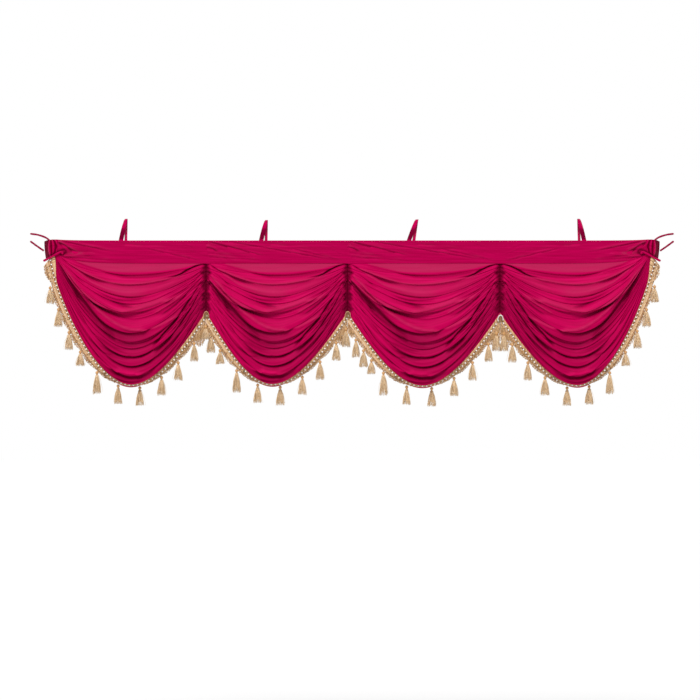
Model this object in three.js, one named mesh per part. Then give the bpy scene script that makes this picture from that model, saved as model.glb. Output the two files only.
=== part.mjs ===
// A swag valance for a festive booth: a flat doubled header band, four swags gathered between its
// junctions, a scalloped gold braid with its tassels along each hem, four hanging loops, two
// pleated ends and four ties. Sizes are in millimetres. x runs along the valance, z is up from
// the header's top edge, and the front faces -y.
import * as THREE from "three";

const CLOTH_THICKNESS = 2;
const SEAM_GAP = 0.4; // between two sewn pieces
const HEADER = {
  halfLength: 1440,
  drop: 112,
  thickness: 3,
  cornerLift: 48, // the lower edge rises this much towards each end
  cornerReach: 80,
  rows: 3,
  seamDepth: 1, // of the groove at each seam
  wave: 8, // of the band's front, where it isn't held flat
  waveLength: 60,
};
const SWAG = {
  bulgeTop: 8, // how far the cloth hangs forward in the middle of a swag
  bulgeHem: 52,
  bulgePower: 0.8, // how it grows down the swag
  bulgeOver: 2, // folds below the header before it is full
  bulgeSidePower: 2.5, // how it ends towards the gathers
  steps: 12, // from gather to gather
  crowding: 0.25, // how much closer the steps lie towards the gathers
  hemAllowance: 6,
  topGap: 0.8, // from the header's edge to the cloth's
  cornerGap: 1.6, // and more at the corner gathers
  cornerGapPower: 6,
  sewnLevels: [0, 0.1], // folds below the header whose lines lie flat, where the cloth is sewn on
  cornerSlant: 0.0005, // how far the strip's end slants along the hem, for each mm of its width
  freeBelow: 6, // folds below the header whose lines still follow its edge
  junctionClearance: 1.6,
};
const LIP = {
  at: 0.7, // between the two roots of its fold
  rise: 0.36, // where the fold's front starts to turn towards the lip
  droop: 0.34, // how far it hangs over, as a share of the fold's width
  fullSize: 26, // of a fold that droops in full
  droopPower: 4, // how the droop ends towards the gathers
  heldDown: 0.72, // the share of a pleat that is sewn flat at its gather
  heldPower: 9,
  sideFrom: 1.15, // how soon along the line a fold takes its size at the side
  risePower: 1.25,
  fallPower: 1.1,
};
// How lines of cloth hang: into a corner they grow steep, into a junction they run straight.
const HANG = { cornerPower: 1.85, steepShare: 0.07, steepPower: 10, bend: 0.68 };
const BRAID = {
  width: 39,
  thickness: 3,
  scallop: 9,
  fullScallop: 110, // a shorter scallop is shallower
  scallopStep: 30,
  stepsPerScallop: 4,
  turnedUnder: THREE.MathUtils.degToRad(76), // at the lowest point, where it is seen edge on
  turnReachLeft: 175,
  turnReachRight: 235,
};
const TASSEL = {
  locks: 6,
  rings: [
    { r: 0.9, z: 0 }, // stem
    { r: 0.9, z: -5 },
    { r: 6.5, z: -12 }, // bead
    { r: 3, z: -18 }, // neck
    { r: 7, z: -26 }, // cap
  ],
  skirt: 18,
  lockDepth: 0.7, // of the skirt's radius
  lockGap: 0.1, // of a lock's turn, at each of its sides
  uneven: 2, // between the locks' lengths
  length: 100,
};
const LOOP = {
  width: 22,
  thickness: 1.6,
  height: 106,
  sewn: 18, // the length behind the header
  gap: 13, // between the legs, front to back
  frontShare: 0.6, // of the gap that the front leg comes forward
  crown: 1.5, // how far the top's fold lies below the loop's height
  crownPlaces: [-0.4, 0.2], // where the top folds, as shares of the gap
  openFrom: 4, // the legs part this far below the header's edge
  openOver: 60,
  slant: 27, // sideways, of the front leg's foot
  lean: 4, // of the back leg's foot
  steps: 6,
};
const TIE = { diameter: 8, sides: 8, steps: 8 };
const PLEAT = {
  count: 4,
  depth: 15,
  thickness: 3,
  columns: 16,
  rows: 4,
  bellyFrom: 0.7, // the pleats' depth at the top and foot, as a share of that in the middle
  outerX: -1500,
  gap: 1.8, // to the header's end
  cornerDrop: 9, // of the top's outer corner
  cornerPower: 3,
  footOuter: -96,
  footInner: -61,
  pinch: 0.86, // the foot's share of the top's width
  flap: 16, // how far the outer edge is turned back
};

const COLOURS = {
  cloth: { color: 0xb5084b, roughness: 0.55, metalness: 0 },
  braid: { color: 0xc79a5b, roughness: 0.6, metalness: 0.15 },
  tassel: { color: 0xd8b27c, roughness: 0.7, metalness: 0 },
};

// The four swags. left and right are the gathers: x of the gather, z where it starts and ends.
// A corner gather slants, so it also has outerX, the x of its lower end. low is the hem's lowest point.
const SWAGS = [
  {
    left: { x: -1440, outerX: -1468, top: -66, bottom: -83, corner: true },
    right: { x: -711, top: -112, bottom: -338 },
    low: { x: -1072, z: -699 },
    mirrored: false,
  },
  {
    left: { x: -711, top: -112, bottom: -338 },
    right: { x: -22, top: -112, bottom: -340 },
    low: { x: -388, z: -696 },
    mirrored: false,
  },
  {
    left: { x: -22, top: -112, bottom: -340 },
    right: { x: 721, top: -112, bottom: -346 },
    low: { x: 342, z: -703 },
    mirrored: false,
  },
  {
    left: { x: 721, top: -112, bottom: -346 },
    right: { x: 1440, outerX: 1468, top: -66, bottom: -83, corner: true },
    low: { x: 1094, z: -701 },
    mirrored: true,
  },
];

// One row for each fold, top to hem. left and right say how far down each gather the fold ends,
// depth how far down the middle, as shares. The sizes say how far its lip stands out, in mm.
const FOLDS = [
  { left: 0.04, right: 0.03, depth: 0.1, sizeLeft: 6, size: 9, sizeRight: 7 },
  { left: 0.09, right: 0.07, depth: 0.175, sizeLeft: 10, size: 10, sizeRight: 9 },
  { left: 0.16, right: 0.12, depth: 0.275, sizeLeft: 3, size: 19, sizeRight: 6 },
  { left: 0.22, right: 0.17, depth: 0.335, sizeLeft: 5, size: 14, sizeRight: 10 },
  { left: 0.31, right: 0.24, depth: 0.4, sizeLeft: 18, size: 26, sizeRight: 8 },
  { left: 0.4, right: 0.32, depth: 0.46, sizeLeft: 22, size: 14, sizeRight: 13 },
  { left: 0.5, right: 0.41, depth: 0.565, sizeLeft: 12, size: 27, sizeRight: 14 },
  { left: 0.58, right: 0.5, depth: 0.645, sizeLeft: 13, size: 24, sizeRight: 12 },
  { left: 0.65, right: 0.59, depth: 0.705, sizeLeft: 9, size: 17, sizeRight: 15 },
  { left: 0.73, right: 0.68, depth: 0.77, sizeLeft: 13, size: 22, sizeRight: 13 },
  { left: 0.81, right: 0.77, depth: 0.845, sizeLeft: 11, size: 24, sizeRight: 12 },
  { left: 0.9, right: 0.88, depth: 0.925, sizeLeft: 10, size: 26, sizeRight: 10 },
  { left: 1, right: 1, depth: 1, sizeLeft: 4, size: 20, sizeRight: 4 },
];

// Tassels of each swag: along is the place on the hem from -1 to 1, forward and drop shift its top
// from the braid's notch, lean tips its foot forward, in mm, and long scales its length.
const TASSELS = [
  [
    { along: -0.92, forward: 6.8, drop: 0, lean: 14, long: 0.92 },
    { along: -0.815, forward: 6.8, drop: 0, lean: 14, long: 0.98 },
    { along: -0.68, forward: 6.5, drop: 0, lean: 10, long: 0.98 },
    { along: -0.54, forward: 3.1, drop: 0, lean: 8, long: 0.8 },
    { along: -0.35, forward: 0, drop: 2, lean: 0, long: 1.18 },
    { along: -0.12, forward: 0, drop: 2, lean: 0, long: 1 },
    { along: 0.145, forward: 0, drop: 2, lean: 0, long: 1 },
    { along: 0.42, forward: 0, drop: 2, lean: 0, long: 1 },
    { along: 0.63, forward: 0, drop: 2, lean: 0, long: 1 },
    { along: 0.84, forward: 0, drop: 2, lean: 0, long: 1 },
    { along: 1, forward: 7.4, drop: 0, lean: 14, long: 0.76 },
  ],
  [
    { along: -0.92, forward: -3, drop: 0, lean: -14, long: 0.95 },
    { along: -0.77, forward: 0, drop: 2, lean: -6, long: 0.8 },
    { along: -0.52, forward: 0, drop: 2, lean: 0, long: 1.2 },
    { along: -0.225, forward: 0, drop: 2, lean: 0, long: 1 },
    { along: 0.1, forward: 0, drop: 2, lean: 0, long: 1 },
    { along: 0.39, forward: 0, drop: 2, lean: 0, long: 1 },
    { along: 0.62, forward: 0, drop: 2, lean: 0, long: 1 },
    { along: 0.84, forward: 0, drop: 2, lean: 0, long: 1 },
    { along: 0.98, forward: 0, drop: 2, lean: 0, long: 1 },
  ],
  [
    { along: -0.88, forward: 0, drop: 2, lean: 0, long: 1 },
    { along: -0.77, forward: 0, drop: 2, lean: 0, long: 0.94 },
    { along: -0.66, forward: -2.3, drop: 2, lean: -14, long: 0.8 },
    { along: -0.5, forward: 0, drop: 2, lean: 0, long: 1.22 },
    { along: -0.21, forward: 0, drop: 2, lean: 0, long: 1 },
    { along: 0.12, forward: 0, drop: 2, lean: 0, long: 1 },
    { along: 0.4, forward: 0, drop: 2, lean: 0, long: 1 },
    { along: 0.63, forward: 0, drop: 2, lean: 0, long: 1 },
    { along: 0.84, forward: 0, drop: 2, lean: 0, long: 1 },
    { along: 0.95, forward: 0, drop: 2, lean: 0, long: 1 },
  ],
  [
    { along: -0.95, forward: 0, drop: 2, lean: 0, long: 1 },
    { along: -0.84, forward: 0, drop: 2, lean: 0, long: 1 },
    { along: -0.64, forward: 0, drop: 2, lean: 0, long: 1 },
    { along: -0.43, forward: 0, drop: 2, lean: 0, long: 1 },
    { along: -0.16, forward: 0, drop: 2, lean: 0, long: 1 },
    { along: 0.115, forward: 0, drop: 2, lean: 0, long: 1 },
    { along: 0.35, forward: 0, drop: 2, lean: 0, long: 1.18 },
    { along: 0.54, forward: 3.1, drop: 0, lean: 8, long: 0.8 },
    { along: 0.69, forward: 6.5, drop: 0, lean: 10, long: 0.98 },
    { along: 0.815, forward: 6.8, drop: 0, lean: 14, long: 0.98 },
    { along: 0.925, forward: 6.8, drop: 0, lean: 14, long: 0.92 },
  ],
];

// Loops: x of the upright foot, and the side that the slanting leg comes from.
const LOOPS = [
  { x: -1100, side: -1 },
  { x: -424, side: -1 },
  { x: 300, side: -1 },
  { x: 1104, side: 1 },
];

// Ties on the left end, mirrored on the right: from the pleated end to the free end.
const TIES = [
  {
    name: "upper",
    route: [
      [-1470, 5.9, -24],
      [-1470.5, 5.9, -6],
      [-1490, 5, 13],
      [-1528, 3, 27],
      [-1565, 2, 34],
    ],
  },
  {
    name: "lower",
    route: [
      [-1502, 15.5, -50],
      [-1521, 12, -37],
      [-1546, 8, -19],
      [-1566, 5, -4],
    ],
  },
];

const mix = (a, b, t) => a + (b - a) * t;
const clamp01 = (t) => Math.min(1, Math.max(0, t));
const smooth = (t) => clamp01(t) ** 2 * (3 - 2 * clamp01(t));

// The steps from one gather to the other, as u from -1 to 1.
const PLACES = Array.from({ length: SWAG.steps + 1 }, (_, i) => {
  const even = (2 * i) / SWAG.steps - 1;
  return mix(even, Math.sin((Math.PI / 2) * even), SWAG.crowding);
});

// A closed solid between two grids of points, grid[row][column], front facing the viewer.
function slab(front, back) {
  const rows = front.length;
  const columns = front[0].length;
  const corner = (side, r, c) => (side * rows + r) * columns + c;
  const positions = [...front.flat(), ...back.flat()].flatMap((p) => [p.x, p.y, p.z]);
  const faces = [];
  const quad = (a, b, c, d) => faces.push(a, b, c, a, c, d);
  for (let r = 0; r + 1 < rows; r++)
    for (let c = 0; c + 1 < columns; c++) {
      quad(corner(0, r, c), corner(0, r + 1, c), corner(0, r + 1, c + 1), corner(0, r, c + 1));
      quad(corner(1, r, c), corner(1, r, c + 1), corner(1, r + 1, c + 1), corner(1, r + 1, c));
    }
  const wall = (r0, c0, r1, c1) =>
    quad(corner(0, r0, c0), corner(0, r1, c1), corner(1, r1, c1), corner(1, r0, c0));
  for (let c = 0; c + 1 < columns; c++) {
    wall(0, c, 0, c + 1);
    wall(rows - 1, c + 1, rows - 1, c);
  }
  for (let r = 0; r + 1 < rows; r++) {
    wall(r + 1, 0, r, 0);
    wall(r, columns - 1, r + 1, columns - 1);
  }
  return new THREE.BufferGeometry()
    .setAttribute("position", new THREE.Float32BufferAttribute(positions, 3))
    .setIndex(faces);
}

// A sheet of even thickness around a grid of middle points.
function sheet(middle, thickness) {
  const rows = middle.length;
  const columns = middle[0].length;
  const offset = (side) =>
    middle.map((line, r) =>
      line.map((p, c) => {
        const across = line[Math.min(c + 1, columns - 1)].clone().sub(line[Math.max(c - 1, 0)]);
        const down = middle[Math.min(r + 1, rows - 1)][c].clone().sub(middle[Math.max(r - 1, 0)][c]);
        const normal = down.cross(across).normalize();
        return p.clone().addScaledVector(normal, (side * thickness) / 2);
      }),
    );
  return slab(offset(1), offset(-1));
}

// How much of its height a hanging line has gained at t, from 0 in the middle to 1 at its end.
// A corner line grows steep at its end, an inner one runs straight into its gather.
function hang(t, isCorner) {
  const { steepShare, bend } = HANG;
  if (isCorner) return (1 - steepShare) * t ** HANG.cornerPower + steepShare * t ** HANG.steepPower;
  return (Math.hypot(t, bend) - bend) / (Math.hypot(1, bend) - bend);
}

// The header's drop at x: less near each end, where the corner gather is.
function headerDrop(x) {
  const fromEnd = HEADER.halfLength - Math.abs(x);
  return HEADER.drop - HEADER.cornerLift * Math.exp(-Math.max(0, fromEnd) / HEADER.cornerReach);
}

// A column of the fold table at v, which counts folds from the header down.
function foldValue(v, column, atTop) {
  const index = Math.min(FOLDS.length - 1, Math.floor(v));
  const above = index ? FOLDS[index - 1][column] : atTop;
  return mix(above, FOLDS[index][column], Math.min(1, v - index));
}

// Where the cloth would hang with no folds: u from -1 to 1 along a line, v folds down.
function hangingLine(swag, u, v) {
  const side = u < 0 ? swag.left : swag.right;
  const column = u < 0 === swag.mirrored ? "right" : "left";
  const share = foldValue(v, column, 0);
  const depth = foldValue(v, "depth", 0);
  const inset = side.corner ? 0 : -Math.sign(u) * SWAG.junctionClearance;
  const endX = mix(side.x, side.outerX ?? side.x, share) + inset;
  const endZ = mix(side.top, side.bottom, share);
  const middleX = mix((swag.left.x + swag.right.x) / 2, swag.low.x, depth);
  const middleZ = mix(-HEADER.drop, swag.low.z, depth);
  const t = Math.abs(u);
  const x = mix(middleX, endX, t);
  const z = mix(middleZ, endZ, hang(t, Boolean(side.corner)));
  const topGap = SWAG.topGap + (side.corner ? SWAG.cornerGap * t ** SWAG.cornerGapPower : 0);
  const topLine = mix(-HEADER.drop, side.top, hang(t, Boolean(side.corner)));
  const underHeader = (-headerDrop(x) - topGap - topLine) * (1 - clamp01(v / SWAG.freeBelow)) ** 2;
  const full = mix(SWAG.bulgeTop, SWAG.bulgeHem, depth ** SWAG.bulgePower);
  const bulge = full * smooth(v / SWAG.bulgeOver) * (1 - t ** SWAG.bulgeSidePower);
  return new THREE.Vector3(x, -bulge, z + underHeader);
}

// A fold's height between its roots, 1 at its lip.
function foldShape(s) {
  return s < LIP.at
    ? Math.sin((Math.PI / 2) * (s / LIP.at)) ** LIP.risePower
    : Math.cos((Math.PI / 2) * ((s - LIP.at) / (1 - LIP.at))) ** LIP.fallPower;
}

// How far the lip of a fold stands out at u.
function foldSize(fold, u, mirrored) {
  const onLeft = u < 0 !== mirrored;
  const end = onLeft ? fold.sizeLeft : fold.sizeRight;
  const held = 1 - LIP.heldDown * Math.abs(u) ** LIP.heldPower;
  return mix(fold.size, end, smooth(Math.abs(u) * LIP.sideFrom)) * held;
}

function clothPoint(swag, u, v) {
  const index = Math.min(FOLDS.length - 1, Math.floor(v));
  const fold = FOLDS[index];
  const shape = foldShape(Math.min(1, v - index));
  const root = hangingLine(swag, u, index);
  const foot = hangingLine(swag, u, index + 1);
  const width = root.distanceTo(foot);
  const down = foot.clone().sub(root).normalize();
  const point = hangingLine(swag, u, v);
  point.y -= foldSize(fold, u, swag.mirrored) * shape;
  const free = 1 - Math.abs(u) ** LIP.droopPower;
  const droop = LIP.droop * width * free * (fold.size / LIP.fullSize);
  return point.addScaledVector(down, droop * shape);
}

// The hem and the braid lie on a strip that leaves the last fold's root. It faces the viewer at the
// sides and turns under at the lowest point.
function stripOffset(swag, u, width) {
  const step = 0.004;
  const last = FOLDS.length;
  const before = hangingLine(swag, Math.max(-1, u - step), last);
  const after = hangingLine(swag, Math.min(1, u + step), last);
  const along = after.sub(before);
  const outward = new THREE.Vector3(along.z, 0, -along.x).normalize();
  const hem = hangingLine(swag, u, last);
  const onLeft = u < 0 !== swag.mirrored;
  const reach = onLeft ? BRAID.turnReachLeft : BRAID.turnReachRight;
  const turned = BRAID.turnedUnder * Math.exp(-(((hem.x - swag.low.x) / reach) ** 2));
  outward.multiplyScalar(Math.cos(turned));
  outward.y = Math.sin(turned);
  return hem.addScaledVector(outward, width);
}

// At a junction two strips meet in a mitre: the place on the hem whose strip just reaches it.
function mitreEnd(swag, sign, width) {
  const side = sign < 0 ? swag.left : swag.right;
  if (side.corner) return sign * (1 - SWAG.cornerSlant * width);
  if (width === 0) return sign;
  const limit = side.x - sign * SWAG.junctionClearance;
  let inside = 0.5 * sign;
  let outside = sign;
  for (let i = 0; i < 30; i++) {
    const u = (inside + outside) / 2;
    if ((stripOffset(swag, u, width).x - limit) * sign < 0) inside = u;
    else outside = u;
  }
  return inside;
}

function stripPoint(swag, u, width) {
  const start = mitreEnd(swag, -1, width);
  const end = mitreEnd(swag, 1, width);
  return stripOffset(swag, mix(start, end, (u + 1) / 2), width);
}

// The same strip as the straight runs between the cloth's steps, so that the braid meets the hem.
function sewnPoint(swag, u, width) {
  const i = Math.max(1, PLACES.findIndex((place) => place >= u - 1e-9));
  const share = (u - PLACES[i - 1]) / (PLACES[i] - PLACES[i - 1]);
  return stripPoint(swag, PLACES[i - 1], width).lerp(stripPoint(swag, PLACES[i], width), share);
}

function swagSolid(swag) {
  const levels = FOLDS.flatMap((_, i) => [i, i + LIP.rise, i + LIP.at]).slice(1);
  const grid = levels.map((v) => PLACES.map((u) => clothPoint(swag, u, v)));
  const sewnUnder = SWAG.sewnLevels.map((v) => PLACES.map((u) => hangingLine(swag, u, v).setY(0)));
  grid.unshift(...sewnUnder);
  grid.push(PLACES.map((u) => stripPoint(swag, u, 0)));
  grid.push(PLACES.map((u) => stripPoint(swag, u, SWAG.hemAllowance)));
  return sheet(grid, CLOTH_THICKNESS);
}

function braidSolid(swag, notches) {
  const ends = [-1, ...notches.filter((u) => Math.abs(u) < 0.999), 1];
  const scalloped = ends.slice(1).flatMap((notch, i) => {
    const length = sewnPoint(swag, notch, 0).distanceTo(sewnPoint(swag, ends[i], 0));
    const steps = Math.max(1, Math.min(BRAID.stepsPerScallop, Math.round(length / BRAID.scallopStep)));
    const depth = BRAID.scallop * Math.min(1, length / BRAID.fullScallop);
    return Array.from({ length: steps }, (_, k) => ({
      u: mix(ends[i], notch, k / steps),
      scallop: depth * Math.sin((Math.PI * k) / steps),
    }));
  });
  const corners = PLACES.map((u) => ({ u, scallop: null }));
  const points = [...scalloped, { u: 1, scallop: 0 }];
  for (const corner of corners)
    if (points.every((p) => Math.abs(p.u - corner.u) > 0.004)) points.push(corner);
  points.sort((a, b) => a.u - b.u);
  points.forEach((p, i) => {
    if (p.scallop !== null) return;
    const next = points.slice(i).find((q) => q.scallop !== null);
    const share = (p.u - points[i - 1].u) / (next.u - points[i - 1].u);
    p.scallop = mix(points[i - 1].scallop, next.scallop, share);
  });
  const from = SWAG.hemAllowance + SEAM_GAP;
  const inner = points.map((p) => sewnPoint(swag, p.u, from));
  const outer = points.map((p) => sewnPoint(swag, p.u, BRAID.width + p.scallop));
  return sheet([inner, outer], BRAID.thickness);
}

// A tassel hangs from its origin: a stem, a bead, a cap, and locks that part below the cap.
function tasselSolid(long) {
  const positions = [];
  const faces = [];
  const point = (r, angle, z) => positions.push(r * Math.cos(angle), r * Math.sin(angle), z) / 3 - 1;
  const turn = (k) => (2 * Math.PI * k) / TASSEL.locks;
  const next = (k) => (k + 1) % TASSEL.locks;
  const quad = (a, b, c, d) => faces.push(a, b, c, a, c, d);
  const levels = TASSEL.rings.map(({ r, z }) =>
    Array.from({ length: TASSEL.locks }, (_, k) => point(r, turn(k), z)),
  );
  for (let k = 1; k + 1 < TASSEL.locks; k++) faces.push(levels[0][0], levels[0][k], levels[0][k + 1]);
  for (let i = 0; i + 1 < levels.length; i++)
    for (let k = 0; k < TASSEL.locks; k++)
      quad(levels[i][k], levels[i + 1][k], levels[i + 1][next(k)], levels[i][next(k)]);
  const centre = point(0, 0, TASSEL.rings.at(-1).z);
  const foot = -TASSEL.length * long;
  for (let k = 0; k < TASSEL.locks; k++) {
    const above = [centre, levels.at(-1)[k], levels.at(-1)[next(k)]];
    const level = foot + (k % 3) * TASSEL.uneven;
    const below = [
      point(TASSEL.skirt * (1 - TASSEL.lockDepth), turn(k + 0.5), level),
      point(TASSEL.skirt, turn(k + TASSEL.lockGap), level),
      point(TASSEL.skirt, turn(k + 1 - TASSEL.lockGap), level),
    ];
    for (let e = 0; e < 3; e++) quad(above[e], below[e], below[(e + 1) % 3], above[(e + 1) % 3]);
    faces.push(below[0], below[2], below[1]);
  }
  return new THREE.BufferGeometry()
    .setAttribute("position", new THREE.Float32BufferAttribute(positions, 3))
    .setIndex(faces);
}

// The header's columns stand where those of the swags do, with a shallow groove at each seam.
function headerSolid() {
  const columns = SWAGS.flatMap((swag, i) => {
    const bay = PLACES.map((u) => ({ x: hangingLine(swag, u, 0).x, groove: 0 }));
    return i ? [{ x: swag.left.x, groove: HEADER.seamDepth }, ...bay] : bay;
  });
  const side = (sign) =>
    Array.from({ length: HEADER.rows + 1 }, (_, r) =>
      columns.map(({ x, groove }) => {
        const down = r / HEADER.rows;
        const wave = HEADER.wave * Math.sin(x / HEADER.waveLength) * down * (1 - down);
        const y = HEADER.thickness / 2 - groove + (sign < 0 ? wave : 0);
        return new THREE.Vector3(x, sign * y, -headerDrop(x) * down);
      }),
    );
  return slab(side(-1), side(1));
}

// A pleated end of the header: upright pleats between a level top and a slanting foot.
function pleatedEnd() {
  const inner = -HEADER.halfLength - PLEAT.gap;
  const grid = [];
  for (let r = 0; r <= PLEAT.rows; r++) {
    const down = r / PLEAT.rows;
    const width = (inner - PLEAT.outerX) * mix(1, PLEAT.pinch, down ** 2);
    const line = [];
    for (let c = 0; c <= PLEAT.columns; c++) {
      const across = c / PLEAT.columns;
      const top = -PLEAT.cornerDrop * (1 - across) ** PLEAT.cornerPower;
      const foot = mix(PLEAT.footOuter, PLEAT.footInner, across);
      const belly = mix(PLEAT.bellyFrom, 1, Math.sin(Math.PI * down));
      const pleat = Math.sin(Math.PI * PLEAT.count * across) ** 2 * belly;
      const turnedBack = PLEAT.flap * (1 - smooth(across * PLEAT.count));
      const x = mix(inner - width, inner, across);
      line.push(new THREE.Vector3(x, turnedBack - PLEAT.depth * pleat, mix(top, foot, down)));
    }
    grid.push(line);
  }
  return sheet(grid, PLEAT.thickness);
}

// A loop of tape: a slanting leg in front, over the top, and an upright leg behind, both sewn to
// the header's back.
function loopSolid({ x, side }) {
  const sewnY = HEADER.thickness / 2 + SEAM_GAP + LOOP.thickness / 2;
  const legTop = LOOP.height - LOOP.gap / 2;
  const leg = (footX, reach) =>
    Array.from({ length: LOOP.steps + 1 }, (_, i) => {
      const z = mix(-LOOP.sewn, legTop, i / LOOP.steps);
      const apart = smooth((z + LOOP.openFrom) / LOOP.openOver);
      return new THREE.Vector3(mix(x + footX, x, clamp01(z / LOOP.height)), sewnY + reach * apart, z);
    });
  const front = leg(LOOP.slant * side, -LOOP.frontShare * LOOP.gap);
  const back = leg(-LOOP.lean * side, (1 - LOOP.frontShare) * LOOP.gap);
  const crown = LOOP.height - LOOP.crown;
  const top = LOOP.crownPlaces.map((share) => new THREE.Vector3(x, sewnY + share * LOOP.gap, crown));
  const path = [...front, ...top, ...back.reverse()];
  const middle = [-1, 1].map((edge) =>
    path.map((p) => p.clone().setX(p.x + (edge * LOOP.width) / 2)),
  );
  return sheet(middle, LOOP.thickness);
}

function tieSolid(tie) {
  const route = new THREE.CatmullRomCurve3(tie.route.map((p) => new THREE.Vector3(...p)));
  const section = new THREE.Shape();
  for (let k = 0; k < TIE.sides; k++) {
    const angle = (2 * Math.PI * k) / TIE.sides;
    const x = (TIE.diameter / 2) * Math.cos(angle);
    const y = (TIE.diameter / 2) * Math.sin(angle);
    if (k) section.lineTo(x, y);
    else section.moveTo(x, y);
  }
  return new THREE.ExtrudeGeometry(section, { extrudePath: route, steps: TIE.steps });
}

function named(name, geometry, colour) {
  const mesh = new THREE.Mesh(geometry, new THREE.MeshStandardMaterial(colour));
  mesh.name = name;
  return mesh;
}

// The same shape on the other end: x turned round, and each face with it.
function mirroredCopy(geometry) {
  const copy = geometry.index ? geometry.toNonIndexed() : geometry.clone();
  copy.scale(-1, 1, 1);
  const position = copy.getAttribute("position");
  for (let i = 0; i < position.count; i += 3)
    for (const axis of ["X", "Y", "Z"]) {
      const kept = position[`get${axis}`](i);
      position[`set${axis}`](i, position[`get${axis}`](i + 1));
      position[`set${axis}`](i + 1, kept);
    }
  return copy;
}

const valance = new THREE.Group();
valance.add(named("header", headerSolid(), COLOURS.cloth));
let tasselNumber = 0;
SWAGS.forEach((swag, i) => {
  valance.add(named(`swag_${i + 1}`, swagSolid(swag), COLOURS.cloth));
  const notches = TASSELS[i].map((place) => place.along);
  valance.add(named(`braid_${i + 1}`, braidSolid(swag, notches), COLOURS.braid));
  for (const place of TASSELS[i]) {
    tasselNumber += 1;
    const name = `tassel_${String(tasselNumber).padStart(2, "0")}`;
    const tassel = named(name, tasselSolid(place.long), COLOURS.tassel);
    const notch = sewnPoint(swag, place.along, BRAID.width);
    tassel.position.set(notch.x, notch.y - place.forward, notch.z - place.drop);
    tassel.rotation.x = -Math.atan2(place.lean, TASSEL.length);
    valance.add(tassel);
  }
});
LOOPS.forEach((loop, i) => valance.add(named(`loop_${i + 1}`, loopSolid(loop), COLOURS.cloth)));
valance.add(named("pleats_left", pleatedEnd(), COLOURS.cloth));
valance.add(named("pleats_right", mirroredCopy(pleatedEnd()), COLOURS.cloth));
for (const tie of TIES) {
  valance.add(named(`tie_left_${tie.name}`, tieSolid(tie), COLOURS.cloth));
  valance.add(named(`tie_right_${tie.name}`, mirroredCopy(tieSolid(tie)), COLOURS.cloth));
}

export default valance;
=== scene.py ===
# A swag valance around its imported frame: a header band, four gathered swags, beaded gold braid,
# tassels, hanging loops, pleated ends and ties. Shapes are worked out in millimetres, as the
# frame's are, and placed in metres. The front faces -Y and the top edge lies at Z 0.
import math

import bmesh
import bpy
import numpy as np
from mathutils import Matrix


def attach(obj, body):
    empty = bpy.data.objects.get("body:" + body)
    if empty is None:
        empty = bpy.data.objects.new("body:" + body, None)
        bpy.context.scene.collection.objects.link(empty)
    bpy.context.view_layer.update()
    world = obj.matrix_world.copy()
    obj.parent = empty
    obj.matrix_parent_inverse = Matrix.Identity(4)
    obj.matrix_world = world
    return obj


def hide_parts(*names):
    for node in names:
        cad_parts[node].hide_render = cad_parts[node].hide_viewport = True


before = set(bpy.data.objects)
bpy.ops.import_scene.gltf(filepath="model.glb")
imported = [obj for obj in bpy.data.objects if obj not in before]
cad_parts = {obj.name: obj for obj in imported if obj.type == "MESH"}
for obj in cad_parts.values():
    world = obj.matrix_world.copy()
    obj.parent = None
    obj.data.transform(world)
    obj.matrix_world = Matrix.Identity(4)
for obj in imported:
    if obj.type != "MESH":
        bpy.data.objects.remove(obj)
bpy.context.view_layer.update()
toMetres = 0.001
print("frame loaded:", len(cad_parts), "nodes")


def mix(a, b, t):
    return a + (b - a) * t


def smooth(t):
    t = np.clip(t, 0, 1)
    return t * t * (3 - 2 * t)


def unit(vectors):
    return vectors / np.maximum(np.linalg.norm(vectors, axis=-1, keepdims=True), 1e-12)


def bump(distance, width):
    return np.exp(-((distance / width) ** 2))


def wander(a, b, seed):
    # a soft uneven value from -1 to 1, the same each run
    total = 0
    for k in range(1, 5):
        phase = seed * 1.7 + k * 2.1
        total = total + np.sin(a * k * 0.83 + phase) * np.cos(b * k * 1.13 - phase * 1.3) / k
    return total / 2.08


def addObject(name, data):
    made = bpy.data.objects.new(name, data)
    bpy.context.scene.collection.objects.link(made)
    return made


camera = {"lens": 150, "sensor": 36, "seenWidth": 3.409, "x": -0.00974, "z": -0.5333, "clip": 200}


def makeCamera():
    # straight on with a long lens
    data = bpy.data.cameras.new("frontCamera")
    data.lens = camera["lens"]
    data.sensor_width = camera["sensor"]
    data.clip_end = camera["clip"]
    seen = addObject("frontCamera", data)
    away = camera["lens"] / camera["sensor"] * camera["seenWidth"]
    seen.location = (camera["x"], -away, camera["z"])
    seen.rotation_euler = (math.pi / 2, 0, 0)
    bpy.context.scene.camera = seen


makeCamera()
print("camera made")


def newMaterial(name, colour, sockets):
    material = bpy.data.materials.new(name)
    material.use_nodes = True
    material.diffuse_color = (*colour, 1)
    shader = material.node_tree.nodes["Principled BSDF"]
    shader.inputs["Base Color"].default_value = (*colour, 1)
    for socket, value in sockets.items():
        shader.inputs[socket].default_value = value
    return material


def addNode(owner, kind, settings=None, **values):
    node = owner.node_tree.nodes.new(kind)
    for key, value in (settings or {}).items():
        setattr(node, key, value)
    for socket, value in values.items():
        node.inputs[socket].default_value = value
    return node


def link(owner, fromSocket, toSocket):
    owner.node_tree.links.new(fromSocket, toSocket)


def toShader(material, fromSocket, name):
    link(material, fromSocket, material.node_tree.nodes["Principled BSDF"].inputs[name])


def patternOn(material, kind, source, scale, **values):
    # a pattern stretched by scale, on the piece's UV (in metres) or its Object coordinates
    place = addNode(material, "ShaderNodeTexCoord")
    spread = addNode(material, "ShaderNodeMapping", Scale=scale)
    pattern = addNode(material, kind, Scale=1, **values)
    link(material, place.outputs[source], spread.inputs["Vector"])
    link(material, spread.outputs["Vector"], pattern.inputs["Vector"])
    return pattern.outputs["Fac"]


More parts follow.
